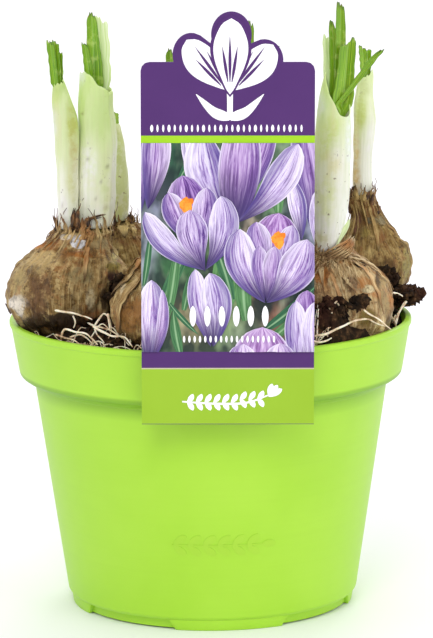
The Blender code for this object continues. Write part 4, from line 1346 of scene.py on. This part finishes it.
ROOTS = {
    "root_left_1": ((-45.3, -30, 93.4), (-42, -31.5, 93.2), (-37.8, -34, 92.9), (-34, -38, 92)),
    "root_left_2": ((-43.4, -36.8, 85.9), (-42.3, -37, 88.9), (-38.8, -40, 88.8),
                    (-35.5, -43, 88.6), (-32.5, -46, 86.2)),
    "root_left_3": ((-33.8, -41, 90.6), (-28.7, -44.5, 88.8), (-24.1, -48, 88.4),
                    (-22.3, -50.6, 86.2)),
    "root_left_4": ((-29.6, -37, 93.5), (-29.2, -39, 91.4), (-29.2, -40.6, 89)),
    "root_right_1": ((29.9, -47.5, 88.3), (33.8, -45.5, 88.9), (39.9, -40.5, 91),
                     (44.6, -37.2, 91.6), (47.8, -33.8, 90), (50.6, -28.4, 87.6)),
    "root_right_2": ((28, -49.2, 88.4), (31.2, -48.1, 86.6), (34.9, -45, 87.4)),
    "root_right_3": ((58.7, -2, 90.6), (57, -4, 89), (54.6, -15.6, 86.4)),
    "root_back": ((-34, 40, 86.4), (-26, 44, 89), (-15, 48, 88.6), (-8, 52, 86)),
}


def add_cord(name, points, radius, smooth):
    """A tapered cord through the points: a bevelled curve made into a mesh."""
    data = bpy.data.curves.new(name, "CURVE")
    data.dimensions = "3D"
    data.bevel_depth = radius
    data.bevel_resolution = smooth
    data.use_fill_caps = True
    spline = data.splines.new("POLY")
    steps = 10 * (len(points) - 1)
    line = [Vector(point) for point in points]
    spline.points.add(steps)
    for index, point in enumerate(spline.points):
        share = index / steps
        spot = along(line, share)
        spot += Vector((ripple(spot, 4.5, 0.45), ripple(spot + UP * 9, 4.5, 0.45),
                        ripple(spot + UP * 17, 4.5, 0.35)))
        point.co = (*(spot * MM), 1)
        point.radius = min(1.1 - 0.6 * share, 0.5 + share * 8) + ripple(spot, 1.2, 0.2)
    cord = bpy.data.objects.new(name, data)
    bpy.context.scene.collection.objects.link(cord)
    only(cord)
    bpy.ops.object.convert(target="MESH")
    return bpy.context.object


@cache
def root_finish():
    root = Finish("cream_root", {"Roughness": 0.55, "Subsurface Weight": 0.15,
                                 "Subsurface Scale": 0.001})
    place = root.place()
    marks = root.grain(place, 260, 4, 0.6)
    root.colour(root.ramp(marks, (0.34, srgb(150, 112, 82)), (0.44, srgb(220, 196, 160)),
                          (0.58, srgb(250, 238, 214))))
    root.bump(root.grain(place, 1800, 3), 0.4, 0.1 * MM)
    return root.material


# Thin roots that lie on the soil in sight, as places in millimetres.
THIN_ROOTS = (
    ((-39.7, -31, 92.0), (-39.3, -31.6, 90.3), (-39.9, -33, 88.9)),
    ((-40.8, -38, 87.0), (-37.8, -38.6, 87.9), (-35.7, -41, 87.2), (-34.2, -44, 86.0)),
    ((-33.8, -36, 89.6), (-32.1, -35.4, 91.8), (-30.7, -34.6, 93.2), (-29.2, -36, 91.9),
     (-28.7, -39.5, 89.6), (-29.5, -42.2, 87.4)),
    ((-35.7, -33, 90.4), (-33.2, -37, 89.8), (-29, -41, 89.4), (-26.1, -44, 88.2),
     (-23.1, -48, 86.4)),
    ((-27.6, -39, 90.2), (-24.9, -42, 89.9), (-22.8, -46, 86.8)),
    ((-33.4, -38, 89.2), (-32.5, -41, 87.9), (-30.7, -44.5, 86.4)),
    ((-44.8, -35.6, 87.4), (-42.6, -38, 86.9), (-39.4, -41.4, 86.6), (-37.4, -43.4, 85.4)),
    ((53.5, -10, 94.4), (55.4, -8, 94.0), (57.2, -6, 92.4)),
    ((58.2, -4, 90.8), (56.8, -9, 89.2), (54.7, -17, 86.2)),
    ((44.4, -38, 94.4), (46.8, -37.2, 92.6), (49.8, -35.5, 90.5), (52.3, -32.4, 87.6)),
    ((36.7, -38, 97.2), (34.9, -40, 95.6), (33.4, -41.6, 94.2)),
)

# Where fine roots lie thickest: centre and reach, in millimetres, and how many.
ROOT_BEDS = (
    ((-35, -41), (11, 8), 22), ((-22, -50), (6, 4), 8), ((34, -46), (9, 4), 9),
    ((54, -18), (4, 12), 12), ((-52, -20), (3, 8), 6), ((0, 20), (42, 36), 26),
)


ROOT_RADIUS = 0.37 * MM
THIN_ROOT_RADIUS = 0.3 * MM
FINE_ROOT_STEPS = 5
SOIL_REACH = 55.5  # how far from the middle a fine root may run, in millimetres


def add_fine_root(centre, reach, corms):
    """A thin root that arches over the soil between two dips into it."""
    turn = random.uniform(0, math.tau)
    length = random.uniform(4, 13)
    x = centre[0] + random.uniform(-1, 1) * reach[0]
    y = centre[1] + random.uniform(-1, 1) * reach[1]
    hop = random.uniform(0.8, 4.2)
    points = []
    for step in range(FINE_ROOT_STEPS + 1):
        share = step / FINE_ROOT_STEPS
        turn += random.uniform(-0.55, 0.55)
        rise = -0.8 + hop * 4 * share * (1 - share) * random.uniform(0.6, 1.2)
        inside = min(1, SOIL_REACH / max(1, math.hypot(x, y)))
        x, y = x * inside, y * inside
        spot = Vector((x, y, soil_height(x * MM, y * MM) / MM + rise))
        for corm in corms:
            nearest, normal, _, apart = corm.find_nearest(spot * MM)
            if apart < 0.5 * MM or (spot * MM - nearest).dot(normal) < 0:
                spot = nearest / MM + normal * 0.6
        points.append(spot)
        x += math.cos(turn) * length / FINE_ROOT_STEPS
        y += math.sin(turn) * length / FINE_ROOT_STEPS
    return add_cord("fine_root", points, random.uniform(0.12, 0.28) * MM, 1)


def add_roots(corms):
    for name, points in ROOTS.items():
        strand = add_cord(name + "_strand", points, ROOT_RADIUS, 2)
        settle(strand, root_finish(), "root", name)
    fine = [add_cord("fine_root", points, THIN_ROOT_RADIUS, 1) for points in THIN_ROOTS]
    for centre, reach, count in ROOT_BEDS:
        fine += [add_fine_root(centre, reach, corms) for _ in range(count)]
    settle(joined("fine_roots", fine), root_finish(), "root")


# ---------------------------------------------------------------- label

# On the card, x runs across from its middle and y up from its lower edge, in millimetres.
LABEL_MIDDLE = Vector((4.8, -61.0, 65.7)) * MM
LABEL_TILT = math.radians(0.4)
LABEL_HALF_WIDTH = 24.5
PICTURE_BOTTOM, PICTURE_TOP = 21.0, 80.8
GREEN_TOP = 16
PALE_RULE_TOP = 16.35
BRIGHT_RULE_TOP = 82.9
INK_STEP = 0.012 * MM  # how far each printed layer stands above the one under it
PRINT_GLOSS = {"Roughness": 0.42, "Specular IOR Level": 0.25}


def print_strip(name, points, widths, across=6, rows=18):
    """A flat shape on the card along a smooth line of points, with a half width at each."""
    line = [Vector((x, y, 0)) for x, y in points]
    spots = [along(line, row / rows) * MM for row in range(rows + 1)]
    sides = []
    for row in range(rows + 1):
        ahead = spots[min(row + 1, rows)] - spots[max(row - 1, 0)]
        sides.append(ahead.cross(UP).normalized())
    wide = [max(0.03, along(widths, row / rows)) * MM for row in range(rows + 1)]
    return ribbon(name, spots, sides, wide, across)


def petal_widths(half_width, blunt):
    """The half widths of a petal; a larger blunt puts its widest place nearer the tip."""
    shares = [step / 12 for step in range(13)]
    return [half_width * math.sin(math.pi * share**blunt) ** 0.7 for share in shares]


def bent(start, end, bend):
    """A line from start to end that bows sideways by bend."""
    (x0, y0), (x1, y1) = start, end
    length = math.hypot(x1 - x0, y1 - y0)
    side = ((y1 - y0) / length * bend, (x0 - x1) / length * bend)
    points = []
    for share in (0, 0.25, 0.5, 0.75, 1):
        bow = 4 * share * (1 - share)
        points.append((x0 + (x1 - x0) * share + side[0] * bow,
                       y0 + (y1 - y0) * share + side[1] * bow))
    return points


# Printed petals from the back to the front: base, tip, half width, bow, blunt, how deep its
# colour is, how pink it is, and which side is in shade.
PRINTED_PETALS = (
    ((-25, 60), (-26.5, 84), 3.6, 0, 1.3, 0.55, 0.3, 0.5),
    ((-22.6, 62), (-19.8, 90), 4.2, 0.8, 1.3, 0.6, 0.35, -0.6),
    ((-9, 66), (-11.6, 88), 2.9, 0.4, 1.3, 0.12, 0.0, 0.6),
    ((24.5, 54), (20.8, 90), 5.2, 0.8, 1.4, 0.72, 0.2, -0.5),
    ((27, 46), (25.6, 68), 3.2, 0, 1.4, 0.2, 0.0, 0.4),
    ((20.8, 53), (17.7, 70.8), 2.6, 0.6, 1.3, 0.05, 0.0, 0.8),
    ((4.4, 64), (12.6, 89), 3.6, 0.3, 1.2, 0.85, 0.35, 0.5),
    ((0.6, 58.6), (-7.4, 83.6), 5.9, -2.2, 1.5, 0.2, 0.0, 0.75),
    ((1.8, 57.6), (4.4, 92), 6.0, 0.3, 0.95, 0.72, 0.4, 0.25),
    ((2.8, 58.2), (19.8, 80.6), 4.6, 2.4, 1.6, 0.22, 0.0, -0.6),
    ((-9.6, 54), (-12.9, 71.6), 6.1, 0, 1.2, 1.0, 0.1, 0.2),
    ((-10.4, 52), (-16.8, 66.8), 3.6, -0.6, 1.5, 0.8, 0.2, -0.6),
    ((-8.4, 52), (-6.0, 68.2), 3.7, 0.6, 1.5, 0.75, 0.1, 0.6),
    ((-6.6, 44.6), (-23.4, 61.2), 3.4, -2.3, 1.55, 0.3, 0.0, -0.7),
    ((-6.2, 44.8), (-1.9, 65.8), 4.3, 2.6, 1.5, 0.3, 0.0, 0.5),
    ((-6.4, 44.2), (-10.8, 61.8), 4.5, -0.9, 1.7, 0.5, 0.0, 0.2),
    ((12.4, 45), (14.4, 60.9), 6.6, 0, 1.25, 1.0, 0.55, 0.1),
    ((11.4, 44), (8.0, 58.4), 3.7, -0.6, 1.5, 0.82, 0.1, -0.6),
    ((13.4, 44), (18.2, 57.4), 3.3, 0.6, 1.5, 0.55, 0.1, 0.5),
    ((10.6, 35.2), (3.4, 56.4), 4.8, -2.6, 1.5, 0.26, 0.0, -0.6),
    ((10.5, 35.6), (9.0, 51.6), 2.6, -0.5, 1.6, 0.75, 0.1, -0.4),
    ((10.9, 35.6), (13.2, 51.4), 2.9, 0.4, 1.6, 0.6, 0.35, 0.4),
    ((11.0, 35.2), (22.4, 53.4), 5.4, 2.2, 1.5, 0.28, 0.0, 0.45),
    ((-22.6, 18), (-21.6, 41.8), 4.4, 0.4, 1.25, 0.14, 0.0, 0.7),
    ((-21.8, 18), (-18.6, 39.0), 1.7, 1.6, 1.2, 0.6, 0.0, 0.5),
    ((-4.8, 22.6), (-9.2, 44.9), 3.1, -0.8, 1.45, 0.1, 0.25, -0.5),
    ((-4.2, 22.6), (-5.2, 43.8), 4.4, 1.6, 1.35, 0.24, 0.0, 0.6),
    ((22, 24), (22.4, 38.8), 3.9, 0, 1.3, 0.95, 0.1, 0.1),
    ((20.6, 12), (19.4, 35.8), 3.4, -0.4, 1.5, 0.14, 0.1, -0.6),
    ((24.2, 12), (24.8, 35.6), 4.0, 0.2, 1.5, 0.24, 0.0, 0.5),
    ((9.4, 10), (9.8, 28.2), 8.0, 0, 1.3, 0.55, 0.9, 0.1),
    ((4.8, 8), (4.4, 23.4), 4.6, -0.6, 1.6, 0.14, 0.7, -0.4),
    ((13.2, 8), (14.8, 23.6), 4.8, 0.6, 1.6, 0.16, 0.7, 0.4),
)
# The first printed petal in front of each bunch of stigmas, and the middle of the bunch.
STIGMAS = ((13, (-11.8, 63.0)), (19, (14.2, 53.2)))
# Printed leaves behind the flowers: ends, half width, bow, and how dark each is.
PRINTED_LEAVES = (
    ((-3.0, 30), (1.5, 62), 4.2, 1.0, 0.15),
    ((-19.5, 33), (-10.2, 52), 1.7, -0.4, 0.75),
    ((-17.2, 31), (-14.2, 52), 1.5, 0.3, 0.45),
    ((-23.8, 40), (-21.8, 56), 0.9, 0.2, 0.8),
    ((-12.5, 33), (-8.6, 47), 1.3, -0.3, 0.6),
    ((-16.6, 35), (-8.4, 26), 0.8, 0.3, 0.85),
    ((-13.5, 20), (-15.5, 33), 1.5, -0.3, 0.6),
    ((1.2, 36), (-4.6, 54), 1.7, 0.5, 0.8),
    ((5.2, 30), (4.6, 46), 2.2, -0.5, 0.35),
    ((-14, 70), (-9.2, 80), 1.0, 0.3, 0.9),
    ((9.0, 21.5), (27, 36.2), 1.4, -0.4, 0.35),
    ((10, 27), (25, 40), 1.5, 0.6, 0.9),
    ((14.2, 61), (13.2, 74), 1.8, 0.3, 0.3),
)
# Soft colours behind the picture: place, reach, and 8-bit colour.
BACKDROP = (
    ((-16.5, 75), (5, 7), (36, 84, 60)), ((-23.5, 66), (3, 5), (36, 54, 58)),
    ((-19, 66), (3, 5), (150, 150, 180)), ((-23.5, 52), (2.5, 9), (168, 174, 190)),
    ((0, 38), (5, 11), (146, 176, 108)), ((3.0, 66), (2.2, 7), (204, 184, 158)),
    ((1.2, 58.5), (4, 4.5), (24, 34, 50)), ((-0.6, 53), (3, 6), (60, 62, 96)),
    ((14, 68), (4, 5), (104, 146, 96)), ((5, 57), (2.5, 6), (190, 170, 150)),
    ((7, 40), (2.5, 6), (150, 106, 80)), ((-12, 30), (5, 7), (172, 156, 116)),
    ((-14, 23), (5, 4), (40, 84, 62)), ((18, 36), (7, 5), (22, 50, 46)),
    ((21.5, 60), (4, 7), (150, 150, 178)), ((4, 24), (5, 6), (112, 126, 108)),
    ((15, 31), (4, 3.5), (164, 104, 84)), ((-13, 44), (7, 7), (44, 96, 54)),
    ((-6, 42.6), (3, 3), (22, 30, 50)), ((10, 35), (4, 3), (16, 30, 40)),
)


def tone(obj, *values):
    """Gives a printed shape its own depth of colour, pinkness or shade."""
    layer = obj.data.attributes.new("tone", "FLOAT_VECTOR", "POINT")
    for item in layer.data:
        item.vector = values


def lift(obj, layer):
    """Lays a printed shape a little above the one under it."""
    obj.data.transform(Matrix.Translation((0, 0, INK_STEP * layer)))
    return obj


def add_stigmas(middle, layer):
    """A bunch of frilled orange stigmas, as short flat strips."""
    strips = []
    for number in range(11):
        turn = number * 2.4
        reach = 0.5 + 1.7 * ((number * 7) % 11) / 11
        x, y = middle[0] + reach * math.cos(turn), middle[1] + reach * math.sin(turn) * 0.9
        points = bent((x * 0.35 + middle[0] * 0.65, y - 1.6), (x, y + 0.6), 0.3)
        strip = print_strip("stigma", points, (0.4, 0.6, 0.95, 0.7), 3, 6)
        tone(strip, number / 11, 0, 0)
        strips.append(lift(strip, layer + number * 0.4))
    return strips


def clip_to_picture(obj):
    """Cuts away what runs over the picture's edges."""
    only(obj)
    bpy.ops.object.mode_set(mode="EDIT")
    edges = (((-LABEL_HALF_WIDTH, 0), (-1, 0)), ((LABEL_HALF_WIDTH, 0), (1, 0)),
             ((0, PICTURE_BOTTOM), (0, -1)), ((0, PICTURE_TOP), (0, 1)))
    for (x, y), (across, up) in edges:
        bpy.ops.mesh.select_all(action="SELECT")
        bpy.ops.mesh.bisect(plane_co=Vector((x, y, 0)) * MM, plane_no=(across, up, 0),
                            clear_outer=True)
    bpy.ops.object.mode_set(mode="OBJECT")


def on_card(obj, finish):
    """Stands a printed piece on the front of the card."""
    turn = Matrix.Rotation(LABEL_TILT, 4, "Y") @ Matrix.Rotation(math.pi / 2, 4, "X")
    obj.data.transform(Matrix.Translation(LABEL_MIDDLE) @ turn)
    settle(obj, finish, "label")


def add_panel(name, bottom, top, finish, layer):
    panel = flat_sheet(name, 6, 4)
    size = Matrix.Diagonal((2 * LABEL_HALF_WIDTH * MM, (top - bottom) * MM, 1, 1))
    panel.data.transform(Matrix.Translation((0, (top + bottom) / 2 * MM, 0)) @ size)
    on_card(lift(panel, layer), finish)


def add_backdrop():
    """The blurred garden behind the printed flowers."""
    sheet = flat_sheet("printed_backdrop", 70, 84)
    height = PICTURE_TOP - PICTURE_BOTTOM
    size = Matrix.Diagonal((2 * LABEL_HALF_WIDTH * MM, height * MM, 1, 1))
    sheet.data.transform(Matrix.Translation((0, (PICTURE_TOP + PICTURE_BOTTOM) / 2 * MM, 0)) @ size)
    layer = sheet.data.color_attributes.new("garden", "FLOAT_COLOR", "POINT")
    for vert, item in zip(sheet.data.vertices, layer.data):
        total, mixed = 0.25, Vector(srgb(104, 132, 104)[:3]) * 0.25
        for (x, y), (reach_x, reach_y), shade in BACKDROP:
            across, up = (vert.co.x / MM - x) / reach_x, (vert.co.y / MM - y) / reach_y
            weight = math.exp(-across * across - up * up) * 3
            total += weight
            mixed += Vector(srgb(*shade)[:3]) * weight
        item.color = (*(mixed / total), 1)
    on_card(lift(sheet, 1), backdrop_print())


def add_picture():
    add_backdrop()
    leaves = []
    for number, (start, end, width, bow, dark) in enumerate(PRINTED_LEAVES):
        leaf = print_strip("printed_leaf", bent(start, end, bow),
                           [width * s for s in (0.5, 0.9, 1.0, 0.75, 0.05)])
        tone(leaf, dark, number, 0)
        leaves.append(lift(leaf, 3 + number * 0.3))
    leaves = joined("printed_leaves", leaves)
    clip_to_picture(leaves)
    on_card(leaves, leaf_print())
    petals, stigmas = [], []
    for number, (base, tip, width, bow, blunt, deep, pink, shade) in enumerate(PRINTED_PETALS):
        for first, middle in STIGMAS:
            if number == first:
                stigmas += add_stigmas(middle, 10 + number + 5 * STIGMAS.index((first, middle)))
        petal = print_strip("printed_petal", bent(base, tip, bow), petal_widths(width, blunt), 10)
        tone(petal, deep, pink + number * 10, shade)
        petals.append(lift(petal, 10 + number + 5 * sum(number >= first for first, _ in STIGMAS)))
    petals = joined("printed_petals", petals)
    clip_to_picture(petals)
    on_card(petals, petal_print())
    on_card(joined("printed_stigmas", stigmas), stigma_print())


def add_bud(x, y, height, half_width, layer):
    return lift(print_strip("white_bud", ((x, y), (x, y + height / 2), (x, y + height)),
                            petal_widths(half_width, 1.0), 4, 10), layer)


def add_white_print():
    """Plain white ornaments: a bloom at the top, borders of buds, and a sprig at the bottom."""
    shapes = []
    for side in (-1, 1):
        lean = math.radians(36) * side
        tip = (0.6 + 20.6 * math.sin(lean), 92.6 + 20.6 * math.cos(lean) - 0.7 * side)
        shapes.append(lift(print_strip("side_petal", bent((0.6, 95.6), tip, 0.9 * side),
                                       petal_widths(4.5, 1.5), 8, 28), 3 + side))
        leaf = ((0.6, 88.0), (0.6 + 4.5 * side, 89.6), (0.6 + 9.5 * side, 94.6))
        shapes.append(lift(print_strip("slim_leaf", leaf, (0.9, 1.5, 1.0, 0.1), 4, 16), 7 + side))
    shapes.append(lift(print_strip("stem", ((0.6, 87.4), (0.6, 92), (0.6, 97)), (0.8, 0.8, 0.9),
                                   4, 6), 9))
    shapes.append(lift(print_strip("middle_petal", bent((0.6, 94.6), (1.0, 116), 0),
                                   petal_widths(4.9, 1.35), 8, 28), 13))
    for number in range(27):
        shapes.append(add_bud(-21.4 + number * 1.62, 83.9, 2.1, 0.3 + 0.14 * (number % 3 == 0), 3))
    for number in range(6):
        shapes.append(add_bud(-9.9 + number * 4.1, 28.4, 6.0, 0.95, 70))
    for number in range(18):
        shapes.append(add_bud(-12.4 + number * 1.5, 23.8, 2.0, 0.34, 70))
    shapes += white_sprig()
    on_card(joined("white_print", shapes), white_print())
    gaps = [lift(print_strip("petal_gap", bent((0.6, 93.8), (1.0, 117), 0),
                             petal_widths(5.8, 1.35), 8, 28), 11)]
    for lean, layer in ((-36, 6), (36, 6), (0, 15)):
        for number, fan in enumerate((-9, 0, 9)):
            angle = math.radians(lean + fan * (0.9 if lean else 1))
            start = (0.6 + 3.6 * math.sin(angle), 94.5 + 3.6 * math.cos(angle))
            reach = 13.6 if fan else 16.5
            end = (0.6 + reach * math.sin(angle), 94.5 + reach * math.cos(angle))
            gaps.append(lift(print_strip("petal_stripe", bent(start, end, 0),
                                         (0.12, 0.42, 0.36, 0.05), 3, 8), layer + 0.3 * number))
    on_card(joined("purple_stripes", gaps), purple_print())


def white_sprig():
    shapes = [lift(print_strip("sprig_stem", ((-13, 6.6), (-4, 6.0), (5, 6.2), (11.4, 8.4)),
                               (0.22, 0.3, 0.3, 0.2), 3, 20), 8)]
    for number in range(9):
        x = -11.6 + number * 2.5
        for side in (-1, 1):
            y = 6.4 + 0.12 * number * (number > 5)
            tip = (x + 1.7, y + side * 2.4)
            shapes.append(lift(print_strip("sprig_leaf", bent((x, y), tip, 0.25 * side),
                                           petal_widths(0.78, 1.1), 4, 8), 5 + 0.3 * side))
    for number, lean in enumerate((-0.5, 0.5, 0)):
        tip = (12.6 + 3.4 * math.sin(lean + 0.5), 8.4 + 3.4 * math.cos(lean + 0.5))
        shapes.append(lift(print_strip("sprig_petal", bent((11.6, 8.0), tip, 0),
                                       petal_widths(0.9, 1.2), 4, 8), 10 + number))
    return shapes


def ink(name, colour, other):
    """A printed ink: one colour with a faint unevenness, and the card's slight grain."""
    made = Finish(name, PRINT_GLOSS)
    place = made.place()
    cloud = made.grain(place, 60, 3)
    made.colour(made.ramp(cloud, (0.3, colour), (0.7, other)))
    made.bump(made.grain(place, 1600, 2), 0.05, 0.03 * MM)
    return made.material


@cache
def purple_print():
    return ink("purple_ink", srgb(75, 40, 102), srgb(79, 43, 106))


def white_print():
    return ink("white_ink", srgb(252, 252, 254), srgb(247, 246, 250))


def backdrop_print():
    garden = Finish("printed_garden", PRINT_GLOSS)
    base = garden.node("Attribute", {}, attribute_name="garden").outputs["Color"]
    place = garden.place()
    blur = garden.grain(garden.stretched(place, (260, 260, 90)), 1, 3)
    colour = garden.mix(garden.ramp(blur, (0.5, 0.0), (0.75, 0.3)), base, srgb(196, 206, 176))
    shade = garden.grain(garden.stretched(place, (190, 190, 120)), 1, 2)
    garden.colour(garden.mix(garden.ramp(shade, (0.38, 0.0), (0.58, 0.85)), colour,
                             srgb(20, 38, 38)))
    return garden.material


def leaf_print():
    leaf = Finish("printed_leaf", PRINT_GLOSS)
    flat, values = leaf.uv(), leaf.attribute("tone")
    across = leaf.from_middle(flat)
    lines = leaf.grain(leaf.stretched(flat, (9, 2, 1)), 1, 3)
    green = leaf.ramp(lines, (0.35, srgb(70, 122, 66)), (0.6, srgb(110, 158, 96)))
    dark = leaf.ramp(lines, (0.35, srgb(18, 66, 50)), (0.6, srgb(46, 104, 74)))
    green = leaf.mix(leaf.split(values, 0), green, dark)
    rib = leaf.ramp(across, (0.03, 0.7), (0.12, 0.0))
    leaf.colour(leaf.mix(rib, green, srgb(158, 196, 150)))
    return leaf.material


def petal_print():
    petal = Finish("printed_petal", PRINT_GLOSS)
    flat, values = petal.uv(), petal.attribute("tone")
    deep, seed, shade = (petal.split(values, axis) for axis in range(3))
    u, v = petal.split(flat, 0), petal.split(flat, 1)
    off = petal.sums("SUBTRACT", u, 0.5)
    across = petal.sums("ABSOLUTE", off, 0)
    lanes = petal.node("CombineXYZ", {0: petal.sums("MULTIPLY", u, 15), 2: seed,
                                      1: petal.sums("MULTIPLY", v, 2.2)}).outputs["Vector"]
    veins = petal.grain(lanes, 1.0, 4, 0.7, 0.5)
    thin = petal.sums("SUBTRACT", petal.sums("ADD", veins, petal.sums("MULTIPLY", v, 0.10)),
                      petal.sums("MULTIPLY", across, 0.12))
    pale = petal.ramp(thin, (0.4, srgb(86, 50, 132)), (0.46, srgb(140, 110, 182)),
                      (0.52, srgb(192, 176, 220)), (0.64, srgb(236, 232, 247)))
    rich = petal.ramp(thin, (0.4, srgb(58, 28, 94)), (0.49, srgb(102, 60, 140)),
                      (0.58, srgb(160, 122, 190)), (0.7, srgb(212, 192, 228)))
    colour = petal.mix(deep, pale, rich)
    rose = petal.sums("FRACT", petal.sums("MULTIPLY", seed, 0.1), 0)
    colour = petal.mix(petal.sums("MULTIPLY", rose, 3.4, clamp=True), colour, srgb(196, 132, 192))
    low = petal.ramp(v, (0.0, 1.0), (0.16, 0.85), (0.48, 0.0))
    colour = petal.mix(low, colour, srgb(50, 38, 88))
    side = petal.sums("MULTIPLY", petal.sums("MULTIPLY", off, shade), 2.6, clamp=True)
    colour = petal.mix(side, colour, srgb(84, 70, 138))
    glow = petal.sums("MULTIPLY", petal.sums("MULTIPLY", off, shade), -3.0)
    glow = petal.sums("MULTIPLY", glow, petal.sums("SUBTRACT", v, 0.12), clamp=True)
    colour = petal.mix(glow, colour, srgb(244, 240, 250))
    rim = petal.ramp(across, (0.44, 0.0), (0.49, 0.75))
    rim = petal.mix(1.0, rim, petal.ramp(v, (0.25, 0.0), (0.5, 1.0)), "MULTIPLY")
    petal.colour(petal.mix(rim, colour, srgb(232, 224, 244)))
    return petal.material


def stigma_print():
    spice = Finish("printed_stigma", PRINT_GLOSS)
    values = spice.attribute("tone")
    flecks = spice.grain(spice.place(), 1300, 2)
    orange = spice.ramp(spice.split(values, 0),
                        (0.0, srgb(226, 110, 24)), (0.5, srgb(246, 140, 36)),
                        (1.0, srgb(250, 168, 60)))
    spice.colour(spice.mix(spice.ramp(flecks, (0.5, 0.0), (0.7, 0.5)), orange,
                           srgb(206, 84, 20)))
    return spice.material


def add_label():
    """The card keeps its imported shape; its print is laid on it in thin layers."""
    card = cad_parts["label"]
    card.data.materials.clear()
    card.data.materials.append(purple_print())
    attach(card, "root")
    green = ink("green_ink", srgb(147, 185, 42), srgb(150, 188, 46))
    add_panel("green_panel", 0.15, GREEN_TOP, green, 2)
    pale = ink("pale_ink", srgb(186, 178, 150), srgb(196, 188, 160))
    add_panel("pale_rule", GREEN_TOP, PALE_RULE_TOP, pale, 2)
    bright = ink("bright_green_ink", srgb(152, 200, 30), srgb(156, 204, 36))
    add_panel("green_rule", PICTURE_TOP, BRIGHT_RULE_TOP, bright, 2)
    add_picture()
    add_white_print()
    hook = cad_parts["label_hook"]
    hook.data.materials.clear()
    hook.data.materials.append(ink("white_plastic", srgb(236, 236, 230), srgb(228, 228, 222)))
    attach(hook, "root")


# ---------------------------------------------------------------- the whole pot

add_studio()
add_camera()
add_pot()
corm_trees = [tree_of(add_corm(name)) for name in CORMS]
add_soil(corm_trees)
add_crumbs(corm_trees)
for corm in CORMS:
    add_loose_tunic(corm)
for sheath in SHEATHS:
    add_sheath(sheath)
    blades = [name for name, blade in BLADES.items() if blade[0] == sheath]
    for order, name in enumerate(blades):
        add_blade(name, order, len(blades))
add_tufts()
add_torn_edge()
add_roots(corm_trees)
add_label()
